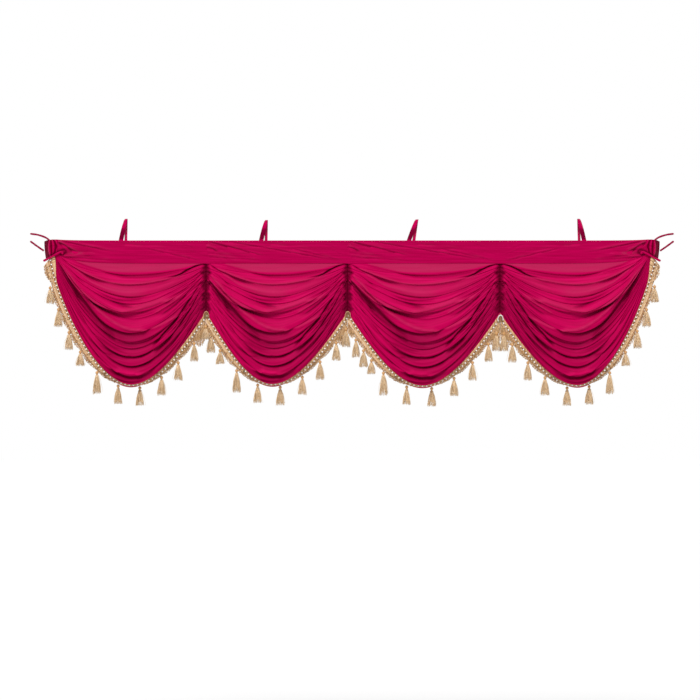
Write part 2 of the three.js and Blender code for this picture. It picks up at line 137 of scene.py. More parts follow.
def noiseOn(material, source, *scale):
    return patternOn(material, "ShaderNodeTexNoise", source, scale, Detail=3)


def ribsOn(material, source, *scale, distortion=0):
    return patternOn(material, "ShaderNodeTexWave", source, scale, Distortion=distortion)


def blendColours(material, factor, first, second):
    # first and second are colours or sockets
    blend = addNode(material, "ShaderNodeMix", {"data_type": "RGBA"})
    link(material, factor, blend.inputs["Factor"])
    for name, value in (("A", first), ("B", second)):
        if isinstance(value, tuple):
            blend.inputs[name].default_value = (*value, 1)
        else:
            link(material, value, blend.inputs[name])
    return blend.outputs["Result"]


def remap(material, value, low, high=0.7):
    ramp = addNode(material, "ShaderNodeMapRange", None, **{"From Min": low, "From Max": high})
    link(material, value, ramp.inputs["Value"])
    return ramp.outputs["Result"]


def addBumps(material, *layers):
    # a layer is its height socket, distance in metres and strength
    normal = None
    for height, distance, strength in layers:
        node = addNode(material, "ShaderNodeBump", Distance=distance, Strength=strength)
        link(material, height, node.inputs["Height"])
        if normal is not None:
            link(material, normal, node.inputs["Normal"])
        normal = node.outputs["Normal"]
    toShader(material, normal, "Normal")


# The satin's colour, a darker one for its uneven streaks, a paler one for painted light (a glow where a
# single layer lets light through, and highlights along fold lips and creases), and the darkest for painted
# shade, which also gives some pieces a deeper tone.
satinLook = {
    "colour": (0.50, 0.0002, 0.076), "darker": (0.37, 0.0001, 0.050), "paler": (0.38, 0.018, 0.075),
    "shadeAndToneColour": (0.072, 0.0, 0.007), "threadPitch": 0.0008,
    "sockets": {
        "Roughness": 0.42, "Specular IOR Level": 0.14, "Specular Tint": (1.0, 0.08, 0.36, 1),
        "Sheen Weight": 0.06, "Sheen Roughness": 0.3, "Sheen Tint": (1.0, 0.08, 0.3, 1),
    },
}
threadLook = {"Metallic": 0.1, "Specular IOR Level": 0.5, "Sheen Weight": 0.15}
polishLook = {"Coat Roughness": 0.15, "Specular IOR Level": 0.6}


def makeSatin():
    look = satinLook
    material = newMaterial("raspberrySatin", look["colour"], look["sockets"])
    shown = blendColours(material, remap(material, noiseOn(material, "UV", 5, 120, 1), 0.35),
                         look["colour"], look["darker"])
    # painted light and painted shade, from the points' attributes, over the streaked colour
    for name, colour in (("paintedLight", look["paler"]), ("paintedShadeAndTone", look["shadeAndToneColour"])):
        amount = addNode(material, "ShaderNodeAttribute", {"attribute_name": name})
        shown = blendColours(material, amount.outputs["Fac"], shown, colour)
    toShader(material, shown, "Base Color")
    threads = 0.314 / look["threadPitch"]
    addBumps(material, (noiseOn(material, "UV", 60, 240, 1), 0.0012, 0.22),
             (ribsOn(material, "UV", threads, threads * 0.4, 1), 0.0001, 0.25))
    return material


def twoTones(material, light, dark, scale, low):
    grain = remap(material, noiseOn(material, "Object", scale, scale, scale), low)
    toShader(material, blendColours(material, grain, light, dark), "Base Color")


def makeThread(name, light, dark, ribs=(90, 90, 90), roughness=0.6):
    material = newMaterial(name, light, {"Roughness": roughness, **threadLook})
    twoTones(material, light, dark, 260, 0.35)
    addBumps(material, (noiseOn(material, "Object", 420, 420, 420), 0.0012, 0.5),
             (ribsOn(material, "Object", *ribs, distortion=1.5), 0.0005, 0.5))
    return material


def makePolished(name, colour, roughness, coat):
    material = newMaterial(name, colour, {"Roughness": roughness, "Coat Weight": coat, **polishLook})
    twoTones(material, colour, tuple(0.8 * part for part in colour), 300, 0.3)
    return material


satin = makeSatin()
goldBand = makeThread("paleGoldBand", (0.76, 0.51, 0.28), (0.54, 0.32, 0.15), (60, 60, 60), 0.5)
goldThread = makeThread("goldThread", (0.66, 0.40, 0.18), (0.33, 0.165, 0.055))
tasselThread = makeThread("tasselThread", (0.95, 0.72, 0.46), (0.46, 0.27, 0.11), (40, 40, 130))
bronzeThread = makeThread("bronzeThread", (0.30, 0.16, 0.05), (0.11, 0.05, 0.015), roughness=0.55)
redThread = makeThread("redBrownThread", (0.42, 0.10, 0.07), (0.20, 0.03, 0.03))
pearl = makePolished("pearl", (0.93, 0.91, 0.88), 0.25, 0.6)
amber = makePolished("amberBead", (0.42, 0.14, 0.035), 0.3, 0.4)
goldBead = makePolished("goldBead", (0.60, 0.31, 0.11), 0.4, 0.2)
braidMaterials = [goldBand, goldThread, bronzeThread, pearl, amber, redThread]
band, thread, bronze, pearls, ambers, red = range(6)  # their places in a braid's list
print("materials made")


def addPiece(name, mesh, node=None, materials=(satin,)):
    piece = addObject(name, mesh)
    for material in materials:
        mesh.materials.append(material)
    mesh.polygons.foreach_set("use_smooth", [True] * len(mesh.polygons))
    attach(piece, "root")
    if node:
        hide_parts(node)
    return piece


def walked(points):
    # how far along each point of a line lies; points[place] or points[place][line]
    steps = np.linalg.norm(np.diff(points, axis=0), axis=-1)
    return np.concatenate([np.zeros_like(steps[:1]), np.cumsum(steps, axis=0)])


def clothMesh(name, points, darker, paler=None):
    # points[row][column] in millimetres, the top row first; one grid, its points moved there
    rows, columns = points.shape[:2]
    cloth = bmesh.new()
    bmesh.ops.create_grid(cloth, x_segments=columns - 1, y_segments=rows - 1, size=0.5)
    uvLayer = cloth.loops.layers.uv.new("UVMap")
    palerLayer = cloth.verts.layers.float.new("paintedLight")
    darkerLayer = cloth.verts.layers.float.new("paintedShadeAndTone")
    uAt = walked(points.swapaxes(0, 1)).mean(1) * toMetres
    vAt = walked(points).mean(1) * toMetres
    for vert in cloth.verts:
        row = round((0.5 - vert.co.y) * (rows - 1))
        column = round((vert.co.x + 0.5) * (columns - 1))
        for loop in vert.link_loops:
            loop[uvLayer].uv = (uAt[column], -vAt[row])
        vert.co = points[row, column] * toMetres
        vert[darkerLayer] = darker[row, column]
        if paler is not None:
            vert[palerLayer] = paler[row, column]
    bmesh.ops.recalc_face_normals(cloth, faces=cloth.faces)
    if sum(face.normal.y * face.calc_area() for face in cloth.faces) > 0:
        bmesh.ops.reverse_faces(cloth, faces=cloth.faces)
    mesh = bpy.data.meshes.new(name)
    cloth.to_mesh(mesh)
    cloth.free()
    return mesh


def thicken(piece, millimetres):
    wall = piece.modifiers.new("thickness", "SOLIDIFY")
    wall.thickness = millimetres * toMetres
    wall.offset = 0


def newPile():
    return {"verts": [], "faces": [], "slots": [], "count": 0}


def addToPile(pile, verts, faces, slotIndex):
    # slotIndex is one material for all, or one for each face
    start = pile["count"]
    pile["verts"].append(verts)
    pile["faces"] += [tuple(start + i for i in face) for face in faces]
    pile["slots"] += np.broadcast_to(slotIndex, len(faces)).tolist()
    pile["count"] += len(verts)


def pileMesh(name, pile, darker=0.0):
    # one closed mesh of a pile, its seams merged and its normals outwards
    mesh = bpy.data.meshes.new(name)
    verts = np.concatenate(pile["verts"]) * toMetres
    mesh.from_pydata(verts.tolist(), [], pile["faces"])
    mesh.polygons.foreach_set("material_index", pile["slots"])
    shell = bmesh.new()
    shell.from_mesh(mesh)
    bmesh.ops.remove_doubles(shell, verts=shell.verts, dist=1e-7)
    bmesh.ops.recalc_face_normals(shell, faces=shell.faces)
    if darker:
        darkerLayer = shell.verts.layers.float.new("paintedShadeAndTone")
        for vert in shell.verts:
            vert[darkerLayer] = darker
    shell.to_mesh(mesh)
    shell.free()
    return mesh


gridsMade = {}


def gridQuads(rows, columns):
    # a grid's faces, with its points numbered row by row
    if (rows, columns) not in gridsMade:
        grid = bmesh.new()
        bmesh.ops.create_grid(grid, x_segments=columns - 1, y_segments=rows - 1, size=0.5)
        for vert in grid.verts:
            row = round((0.5 - vert.co.y) * (rows - 1))
            vert.index = row * columns + round((vert.co.x + 0.5) * (columns - 1))
        quads = [tuple(vert.index for vert in face.verts) for face in grid.faces]
        gridsMade[rows, columns] = sorted(quads, key=min)
        grid.free()
    return gridsMade[rows, columns]


def addRings(pile, rings, slotIndex):
    # a grid wrapped around rings[place][point], its ends drawn in to a point
    places, around = rings.shape[:2]
    ends = np.broadcast_to(rings.mean(1, keepdims=True), rings.shape)
    whole = np.concatenate([ends[:1], rings, ends[-1:]])
    whole = np.concatenate([whole, whole[:, :1]], axis=1)
    slots = np.broadcast_to(slotIndex, places)
    slots = np.repeat(np.concatenate([slots[:1], slots]), around)
    addToPile(pile, whole.reshape(-1, 3), gridQuads(places + 2, around + 1), slots)


def addTube(pile, points, radius, sides, slotIndex, normals=(0.05, -1.0, 0.02)):
    # a round tube along points; the radius, material and normal are one or one for each point
    points = np.asarray(points, float)
    radius = np.broadcast_to(radius, len(points))
    along = unit(np.gradient(points, axis=0))
    sideways = unit(np.cross(along, normals))
    upward = np.cross(sideways, along)
    angle = 2 * math.pi * np.arange(sides)[None, :, None] / sides
    rings = np.cos(angle) * sideways[:, None] + np.sin(angle) * upward[:, None]
    addRings(pile, points[:, None] + radius[:, None, None] * rings, slotIndex)


def ballShape(subdivisions):
    ball = bmesh.new()
    bmesh.ops.create_icosphere(ball, subdivisions=subdivisions, radius=1)
    verts = np.array([vert.co for vert in ball.verts])
    faces = [tuple(vert.index for vert in face.verts) for face in ball.faces]
    ball.free()
    return verts, faces


smallBall, ball, ribbedBall = (ballShape(subdivisions) for subdivisions in (1, 2, 3))


def addBall(pile, centre, radii, slotIndex, shape=ball):
    addToPile(pile, shape[0] * np.asarray(radii) + centre, shape[1], slotIndex)


# The ties are the free cords. Their routes repeat the solids', in metres.
tieLook = {"diameter": 0.0092, "sides": 12, "stepsPerSpan": 9, "darker": 0.5, "tip": 0.6, "uneven": 0.05}
tieRoutes = {
    "upper": [(-1.470, 0.0059, -0.024), (-1.4705, 0.0059, -0.006), (-1.490, 0.005, 0.013),
              (-1.528, 0.003, 0.027), (-1.5675, 0.002, 0.033)],
    "lower": [(-1.502, 0.0155, -0.050), (-1.521, 0.012, -0.037), (-1.546, 0.008, -0.019),
              (-1.5675, 0.005, -0.003)],
}


def curveThrough(points, steps):
    points = np.asarray(points, float)
    ends = np.vstack([2 * points[0] - points[1], points, 2 * points[-1] - points[-2]])
    line = []
    for i in range(1, len(ends) - 2):
        before, start, end, after = ends[i - 1 : i + 3]
        for t in np.arange(steps) / steps:
            line.append(0.5 * (2 * start + (end - before) * t
                               + (2 * before - 5 * start + 4 * end - after) * t**2
                               + (3 * start - before - 3 * end + after) * t**3))
    return np.array([*line, points[-1]])


def makeTie(side, name):
    look = tieLook
    path = curveThrough(tieRoutes[name], look["stepsPerSpan"]) * [-1 if side == "right" else 1, 1, 1]
    radius = look["diameter"] / 2 * (1 + look["uneven"] * np.sin(23 * np.linspace(0, 1, len(path))))
    radius[[0, -1]] *= look["tip"]
    pile = newPile()
    addTube(pile, path / toMetres, radius / toMetres, look["sides"], 0)
    pieceName = f"tie_{side}_{name}_cord"
    piece = addPiece(pieceName, pileMesh(pieceName, pile, look["darker"]), f"tie_{side}_{name}")


for side in ("left", "right"):
    for name in tieRoutes:
        makeTie(side, name)
print("ties made")

# How the cloth hangs, on the same lines as the solids. A gather stands at x, or at outerX by its
# foot, and reaches from top to bottom. A place in a bay is u, -1 to 1 across it, and v, the folds
# down.
halfLength, headerHeight, cornerLift, cornerReach = 1440, 112, 48, 80
gatherNames = ("x", "outerX", "top", "bottom", "corner")
gathers = [dict(zip(gatherNames, row)) for row in (
    (-1440, -1468, -66, -83, True),
    (-711, -711, -112, -338, False),
    (-22, -22, -112, -340, False),
    (721, 721, -112, -346, False),
    (1440, 1468, -66, -83, True),
)]
lowPoints = [(-1072, -699), (-388, -696), (342, -703), (1094, -701)]
swags = [{"left": gathers[i], "right": gathers[i + 1], "low": low, "mirrored": i == 3,
          "cornered": i in (0, 3)} for i, low in enumerate(lowPoints)]

# A row for each fold, top to hem: how far down the left gather, the right gather and the middle it
# ends, as shares, and how far it droops in the middle.
foldNames = ("left", "right", "depth", "droop")
folds = np.array([
    (0.04, 0.03, 0.1, 9),
    (0.09, 0.07, 0.175, 10),
    (0.16, 0.12, 0.275, 19),
    (0.22, 0.17, 0.335, 14),
    (0.31, 0.24, 0.4, 26),
    (0.4, 0.32, 0.46, 14),
    (0.5, 0.41, 0.565, 27),
    (0.58, 0.5, 0.645, 24),
    (0.65, 0.59, 0.705, 17),
    (0.73, 0.68, 0.77, 22),
    (0.81, 0.77, 0.845, 24),
    (0.9, 0.88, 0.925, 26),
    (1, 1, 1, 20),
])
foldCount = len(folds)
swagLook = {
    "columns": 114, "crowding": 0.25, "thickness": 1.2, "bulgeTop": 8, "bulgeHem": 52,
    "clearance": 0.5, "topGap": 0.8, "cornerGap": 1.6, "cornerSlant": 0.0005, "freeBelow": 6,
    "bend": 0.68, "lipAt": 0.7, "droop": 0.34, "fullDroop": 26, "heldDown": 0.72,
    "turnedUnder": math.radians(76), "reachLeft": 175, "reachRight": 235,
}


def inFirstBay(swag, u):
    # the last bay mirrors the first, whose tables serve all four
    return -u if swag["mirrored"] else u


def foldColumn(name):
    return folds[:, foldNames.index(name)]


def foldValue(v, name):
    return np.interp(v, np.arange(foldCount + 1), [0, *foldColumn(name)])


def headerDrop(x):
    return headerHeight - cornerLift * np.exp(-np.maximum(0, halfLength - np.abs(x)) / cornerReach)


def hang(t, corner):
    bend = swagLook["bend"]
    straight = (np.hypot(t, bend) - bend) / (math.hypot(1, bend) - bend)
    return np.where(corner, 0.93 * t**1.85 + 0.07 * t**10, straight)


def hangingLine(swag, u, v):
    u, v = np.broadcast_arrays(np.asarray(u, float), np.asarray(v, float))
    x0, outerX, top, bottom, corner = (np.where(u < 0, swag["left"][key], swag["right"][key])
                                       for key in gatherNames)
    share = np.where((u < 0) == swag["mirrored"], foldValue(v, "right"), foldValue(v, "left"))
    depth = foldValue(v, "depth")
    endX = mix(x0, outerX, share) + np.where(corner, 0, -np.sign(u) * swagLook["clearance"])
    endZ = mix(top, bottom, share)
    lowX, lowZ = swag["low"]
    t = np.abs(u)
    x = mix(mix((swag["left"]["x"] + swag["right"]["x"]) / 2, lowX, depth), endX, t)
    z = mix(mix(-headerHeight, lowZ, depth), endZ, hang(t, corner))
    topGap = swagLook["topGap"] + np.where(corner, swagLook["cornerGap"] * t**6, 0)
    topLine = mix(-headerHeight, top, hang(t, corner))
    followed = (1 - np.clip(v / swagLook["freeBelow"], 0, 1)) ** 2
    z = z + (-headerDrop(x) - topGap - topLine) * followed
    bulge = mix(swagLook["bulgeTop"], swagLook["bulgeHem"], depth**0.8) * smooth(v / 2)
    return np.stack([x, -bulge * (1 - t**2.5), z], axis=-1)


def foldShape(s):
    lip = swagLook["lipAt"]
    rising = np.sin(math.pi / 2 * np.clip(s / lip, 0, 1)) ** 1.25
    falling = np.cos(math.pi / 2 * np.clip((s - lip) / (1 - lip), 0, 1)) ** 1.1
    return np.where(s < lip, rising, falling)


# How far each fold's lip stands out at these places along it, top to hem, in millimetres.
foldPlaces = (-0.8, -0.5, -0.25, 0, 0.25, 0.5, 0.8)
foldHeights = np.array([
    (3, 4, 6, 7, 7, 6, 3),
    (4, 6, 6, 5, 5, 5, 3),
    (3, 5, 12, 14, 7, 3, 3),
    (3, 4, 8, 9, 5, 3, 3),
    (6, 10, 14, 13, 8, 5, 4),
    (0, 0, 2, 4, 4, 5, 4),
    (5, 9, 14, 15, 12, 7, 5),
    (4, 7, 12, 15, 13, 8, 5),
    (4, 6, 10, 12, 12, 7, 4),
    (4, 7, 12, 16, 14, 8, 4),
    (4, 6, 11, 16, 15, 9, 4),
    (3, 5, 9, 14, 15, 8, 3),
    (2, 4, 9, 13, 12, 5, 2),
])

# Creases laid over the folds, in the first bay's sense: half widths above and below in
# millimetres, how much painted highlight the cloth gets there, and (across, folds down, millimetres
# forward).
creases = [
    (7, 6, 0, [(-0.97, 0, 0), (-0.89, 0, -4), (-0.63, 0.54, -5), (-0.1, 1.07, -6), (0.16, 1.17, -5),
        (0.42, 1.23, -6), (0.62, 1.31, -5), (0.76, 1.13, 0)]),  # under the crescent
    (4, 7, 0, [(-0.99, 0, -5), (-0.87, 1.19, -9), (-0.8, 1.59, -8), (-0.69, 1.72, -7),
        (-0.59, 2.04, -6), (-0.34, 2.1, 0)]),  # from the left gather's top
    (9, 4, 0.5, [(-0.89, 1.05, 0), (-0.82, 1.26, 4), (-0.62, 1.58, 6), (-0.28, 2, 6), (0.04, 1.85, 4),
        (0.34, 1.76, 4), (0.62, 2.02, 5), (0.74, 2.18, 0)]),  # lip with a painted highlight
    (8, 4, 0.5, [(-0.89, 1.35, 0), (-0.74, 2.1, 4), (-0.53, 2.48, 4), (0.34, 2.47, 0)]),  # second lip with a painted highlight
    (4, 6, 0, [(-0.92, 2.32, 0), (-0.84, 2.49, -5), (-0.74, 2.83, -6), (-0.66, 3.29, -4),
        (-0.58, 3.41, 0)]),  # short dark crease
    (3, 6, 0, [(-0.45, 3.45, 0), (-0.32, 3.53, -6), (-0.19, 3.56, -7), (0.09, 3.35, -5),
        (0.2, 3.27, 0)]),  # under the short lip
    # short crease below it
    (3, 4, 0, [(-0.28, 4.04, 0), (-0.19, 4.07, -5), (-0.1, 4.18, -8), (0, 4.23, -8), (0.11, 4.24, 0)]),
    (18, 5, 0.45, [(-0.93, 3.66, 2), (-0.89, 4.09, 6), (-0.78, 4.44, 10), (-0.71, 5.03, 13),
        (-0.62, 5.3, 15), (-0.48, 5.41, 16), (-0.28, 5.16, 16), (-0.01, 4.51, 12), (0.18, 4.33, 8),
        (0.4, 4.36, 6), (0.62, 5.32, 3), (0.71, 5.36, 0)]),  # strong lip
    (5, 17, 0, [(-0.67, 5.61, 0), (-0.56, 5.94, -13), (-0.44, 5.72, -15), (0.03, 5.33, -6),
        (0.21, 5.18, -4), (0.37, 5.25, 0)]),  # under the strong lip
    (7, 5, 0.6, [(-0.95, 4.85, 4), (-0.86, 5.22, 10), (-0.74, 5.56, 13), (-0.5, 6.12, 14),
        (0.12, 6.63, 9), (0.31, 7.15, 7), (0.52, 7.4, 5), (0.74, 8.14, 0)]),  # middle lip
    (13, 42, 0, [(-0.95, 5.22, -10), (-0.81, 6.17, -24), (-0.7, 6.4, -27), (-0.52, 6.65, -24),
        (-0.27, 7.1, -12), (-0.18, 7.12, -9), (0.15, 7.28, -5), (0.31, 7.36, 0)]),  # the deep valley
    (5, 3, 0.25, [(-0.98, 5.25, 10), (-0.88, 6.05, 8), (-0.66, 6.94, 8), (-0.25, 7.64, 7),
        (-0.18, 8.01, 6), (0.02, 8.07, 5), (0.22, 8.17, 0)]),  # double ridge
    (2.5, 3, 0, [(-0.95, 5.65, -6), (-0.9, 6.25, -9), (-0.68, 7.24, -9), (-0.57, 7.39, -6),
        (-0.5, 7.4, 0)]),  # its groove
    (4, 6, 0, [(-0.93, 6.61, -3), (-0.87, 7.24, -6), (-0.66, 8.06, -6), (-0.32, 8.22, -6),
        (-0.17, 8.43, -6), (0.02, 8.48, -6), (0.22, 8.61, -4), (0.3, 8.62, 0)]),  # below the double ridge
    # left pleat
    (4, 5, 0, [(-0.91, 7.66, -2), (-0.81, 9.04, -5), (-0.73, 9.33, -5), (-0.61, 9.46, -7),
        (-0.56, 9.72, -8), (-0.49, 9.84, -7), (-0.34, 9.43, -6), (-0.17, 9.33, -5), (-0.02, 9.29, 0)]),
    (4, 5, 0, [(-0.93, 9.49, -2), (-0.84, 10.51, -5), (-0.75, 11.12, -6), (-0.64, 11.32, -7),
        (-0.52, 11.29, -7), (-0.38, 11.03, -7), (-0.24, 10.39, -6), (0.04, 10.1, 0)]),  # left pleat
    (3, 4, 0, [(-0.93, 10.67, -3), (-0.85, 11.52, -6), (-0.76, 12.12, -6), (-0.66, 12.33, -6),
        (-0.41, 12.15, -5), (-0.3, 11.63, 0)]),  # left pleat
    (4, 4, 0, [(-0.95, 11.81, 3), (-0.87, 12.53, 6), (-0.77, 13, 7), (-0.52, 12.86, 7),
        (-0.4, 12.69, 5), (-0.25, 12.42, 0)]),  # bright pleat by the hem
    (4, 12, 0, [(-0.46, 12.73, 0), (-0.38, 12.49, -5), (-0.14, 12.11, -8), (0.18, 12.28, -8),
        (0.27, 12.32, -6), (0.33, 12.19, 0)]),  # bottom valley
    (8, 4, 0, [(-0.4, 12.48, 0), (-0.26, 12.13, 6), (-0.13, 11.57, 9), (0.04, 11.55, 9),
        (0.19, 12.05, 7), (0.3, 11.92, 0)]),  # bottom lip
    (3, 4, 0, [(-0.26, 12.85, 0), (-0.16, 12.65, -7), (-0.04, 12.58, -8), (0.09, 12.59, -7),
        (0.21, 12.62, 0)]),  # dark over the hem
    (3, 6, 0, [(-0.42, 10.31, 0), (-0.32, 10.21, -7), (-0.17, 10.07, -9), (-0.02, 9.75, -7),
        (0.14, 10.04, -6), (0.24, 9.89, -7), (0.32, 9.63, 0)]),  # centre lens
    (3, 5, 0, [(-0.17, 8.23, 0), (-0.06, 8.27, -6), (0.27, 8.33, -11), (0.38, 8.24, -10),
        (0.48, 8.13, 0)]),  # centre lens
    (3, 5, 0, [(-0.25, 11.12, 0), (-0.13, 10.86, -6), (0.01, 10.95, -8), (0.26, 11.07, -7),
        (0.35, 10.65, 0)]),  # centre lens
    (4, 8, 0, [(0.39, 1.58, 0), (0.48, 1.66, -3), (0.59, 1.73, -12), (0.67, 1.58, -18),
        (0.85, 0.66, -20), (0.92, 0.39, -15), (0.99, 0, -6)]),  # from the right gather's top
    (3, 5, 0, [(0.34, 3.18, 0), (0.51, 3.17, -4), (0.81, 3.27, -6), (0.93, 2.73, -6),
        (0.97, 2.24, -3)]),  # right pleat
    (3, 5, 0, [(0.32, 4.31, 0), (0.43, 4.34, -3), (0.72, 4.6, -6), (0.85, 4.37, -7), (0.92, 3.84, -6),
        (0.96, 3.42, -3)]),  # right pleat
    (4, 4, 0.6, [(0.29, 5.75, 0), (0.35, 5.69, 6), (0.65, 5.48, 5), (0.71, 5.39, 0)]),  # line with a painted highlight
    (3, 6, 0, [(0.35, 6.28, 0), (0.47, 6.26, -5), (0.7, 6.12, -8), (0.76, 5.71, -8), (0.9, 5.11, -7),
        (0.95, 4.78, -4)]),  # right pleat
    (3, 3, 0, [(0.74, 8.59, 0), (0.82, 8.29, 5), (0.92, 7.26, 7), (0.99, 6.12, 9)]),  # bright tip
    (3, 3, 0, [(0.63, 12.19, 0), (0.73, 12.03, 5), (0.87, 11.12, 6), (0.98, 9.24, 9)]),  # bright tip
    # black pleat
    (6, 8, 0, [(0.28, 9.25, 0), (0.36, 9.12, -12), (0.44, 8.64, -16), (0.6, 8.22, -20),
        (0.68, 7.6, -19), (0.79, 7.1, -16), (0.84, 6.63, -13), (0.89, 6.34, -10), (0.94, 5.79, -6)]),
    # ridge between
    (3, 3, 0, [(0.28, 9.53, 0), (0.36, 9.42, 7), (0.6, 9.12, 8), (0.75, 8.15, 8), (0.88, 7.04, 3)]),
    (4.5, 6.5, 0, [(0.28, 10.26, 0), (0.41, 10.21, -15), (0.52, 10.15, -17), (0.78, 9.07, -15),
        (0.85, 8.37, -13), (0.9, 7.56, -9), (0.93, 7.32, -5)]),  # second black pleat
    (3, 4, 0, [(0.34, 11.2, 0), (0.42, 11.24, -5), (0.53, 11.26, -9), (0.63, 11.14, -10),
        (0.87, 9.78, -9), (0.92, 9.12, -8), (0.94, 8.64, -4)]),  # right pleat
    (3, 4, 0, [(0.53, 12.44, 0), (0.63, 12.54, -7), (0.72, 12.52, -9), (0.87, 12.09, -9),
        (0.93, 11.52, -8), (0.97, 10.74, -6)]),  # right pleat
    # right hem edge
    (3, 3, 0, [(0.72, 13, 0), (0.8, 13, -5), (0.88, 13, -7), (0.94, 12.63, -7), (0.98, 11.93, -5)]),
]

# The flanks' fine pleats: how many to a fold, how high, where they start, how much shade is painted in
# their valleys.
flank = {
    "left": {"count": 2, "height": 3.0, "from": 0.3, "within": 0.4, "below": 5, "valley": 0.6},
    "right": {"count": 2.6, "height": 4.4, "from": 0.28, "within": 0.32, "below": 0.5, "valley": 0.95},
    "middle": {"count": 1.7, "height": 1.2}, "uneven": 2.0,
}
gather = {"from": 0.925, "within": 0.055, "recess": 11, "darker": 0.85, "ripple": 2.2, "rippleLong": 3.4,
          "ragged": 0.016, "raggedLong": 9.3, "raggedFine": 4.1}
# How much shade is painted into the colour: the shares of slope, hollow, corner, lower folds and uneven
# tone.
shade = {"slopeFrom": 0.45, "slopeWithin": 1.3, "slopeShare": 0.5, "hollowFrom": 1.6, "hollowWithin": 9,
         "hollowShare": 0.42, "reach": 26, "fullDark": 25, "ridgeShare": 0.4,
         "corner": 0.3, "lowerFrom": 5, "lower": 0.26, "tone": 0.2, "most": 0.84}
sides = (("left", -1), ("right", 1))


def foldWidths(swag, u):
    lines = np.array([hangingLine(swag, u, float(fold)) for fold in range(foldCount + 1)])
    return np.linalg.norm(np.diff(lines, axis=0), axis=2)


def foldIndex(v):
    return np.clip(np.floor(v + 1e-9).astype(int), 0, foldCount - 1)


def downTo(widths, v):
    # how far down the cloth a level lies at each column, in millimetres
    index = foldIndex(v)
    columns = np.broadcast_to(np.arange(widths.shape[1]), index.shape)
    total = np.concatenate([np.zeros((1, widths.shape[1])), np.cumsum(widths, axis=0)])
    return total[index, columns] + (v - index) * widths[index, columns]


def creaseRelief(across, widths, place):
    # the listed creases, in millimetres forward, and the painted highlight and painted shade they give the
    # cloth
    relief, highlight, dark = np.zeros((3, *place.shape))
    narrow = (widths.sum(0) / widths.sum(0).max()) ** 0.7
    for above, below, highlighted, line in creases:
        lineU, lineV, heights = np.array(line, float).T
        middle = downTo(widths, np.interp(across, lineU, lineV)[None])
        height = np.interp(across, lineU, heights, left=0, right=0) * np.minimum(1, 1.3 * narrow)
        off = place - middle
        shape = bump(off, np.where(off < 0, above, below) * narrow)
        relief += height * shape
        dark += np.maximum(-height, 0) / shade["fullDark"] * shape
        highlight += highlighted * smooth(np.abs(height) / 5) * bump(off + 2, 0.6 * above * narrow)
    return relief, highlight, dark


def fineRelief(across, u, v):
    # small pleats by the gathers and soft unevenness all over, in millimetres forward,
    # and the shade painted in the pleats' valleys
    relief, valleys = np.zeros((2, v.size, u.size))
    for side, sign in sides:
        part = flank[side]
        weight = smooth((sign * across - part["from"]) / part["within"]) * (1 - 0.3 * np.abs(u) ** 8)
        phase = 0.8 * wander(across * 4.5, v * 0.7, sign + 2)
        pleat = np.abs(np.sin(math.pi * (part["count"] * v + phase))) ** 0.65 - 0.7
        uneven = 0.7 + 0.6 * wander(across * 3, v * 2.3, 5 + sign)
        weight = weight * uneven * smooth((v - part["below"]) / 2)
        relief += part["height"] * weight * pleat
        valleys += part["valley"] * weight * smooth(-pleat / 0.5)
    part = flank["middle"]
    weight = 1 - smooth((np.abs(across) - 0.35) / 0.3)
    phase = 0.5 * wander(across * 3.1, v * 0.9, 9)
    relief += part["height"] * weight * np.sin(2 * math.pi * (part["count"] * v + phase)) * smooth(v / 1.5)
    relief += flank["uneven"] * wander(across * 5.5, v * 1.1, 3) * smooth(v / 2) * (1 - np.abs(u) ** 6)
    return relief, valleys


def shadeOf(place, forward):
    # painted shade: where the cloth faces down and in its hollows
    slope = np.gradient(forward, axis=0) / np.maximum(np.gradient(place, axis=0), 0.2)
    around = np.empty_like(forward)
    for column, (down, height) in enumerate(zip(place.T, forward.T)):
        total = np.concatenate([[0], np.cumsum(np.diff(down) * (height[1:] + height[:-1]) / 2)])
        low = np.maximum(down - shade["reach"], down[0])
        high = np.minimum(down + shade["reach"], down[-1])
        within = np.interp(high, down, total) - np.interp(low, down, total)
        around[:, column] = within / np.maximum(high - low, 0.5)
    facing = smooth((-slope - shade["slopeFrom"]) / shade["slopeWithin"])
    hollow = smooth((around - forward - shade["hollowFrom"]) / shade["hollowWithin"])
    return np.clip(shade["slopeShare"] * facing + shade["hollowShare"] * hollow, 0, 1)


def gathered(swag, u, place):
    # 1 where the cloth turns back into a junction, pleat by pleat
    weight = np.zeros_like(u * place)
    wave = np.sin(place / gather["raggedLong"]) + 0.5 * np.sin(place / gather["raggedFine"])
    for side, sign in sides:
        if not swag[side]["corner"]:
            past = sign * u - gather["from"] - gather["ragged"] * wave
            weight = weight + smooth(past / gather["within"])
    return weight


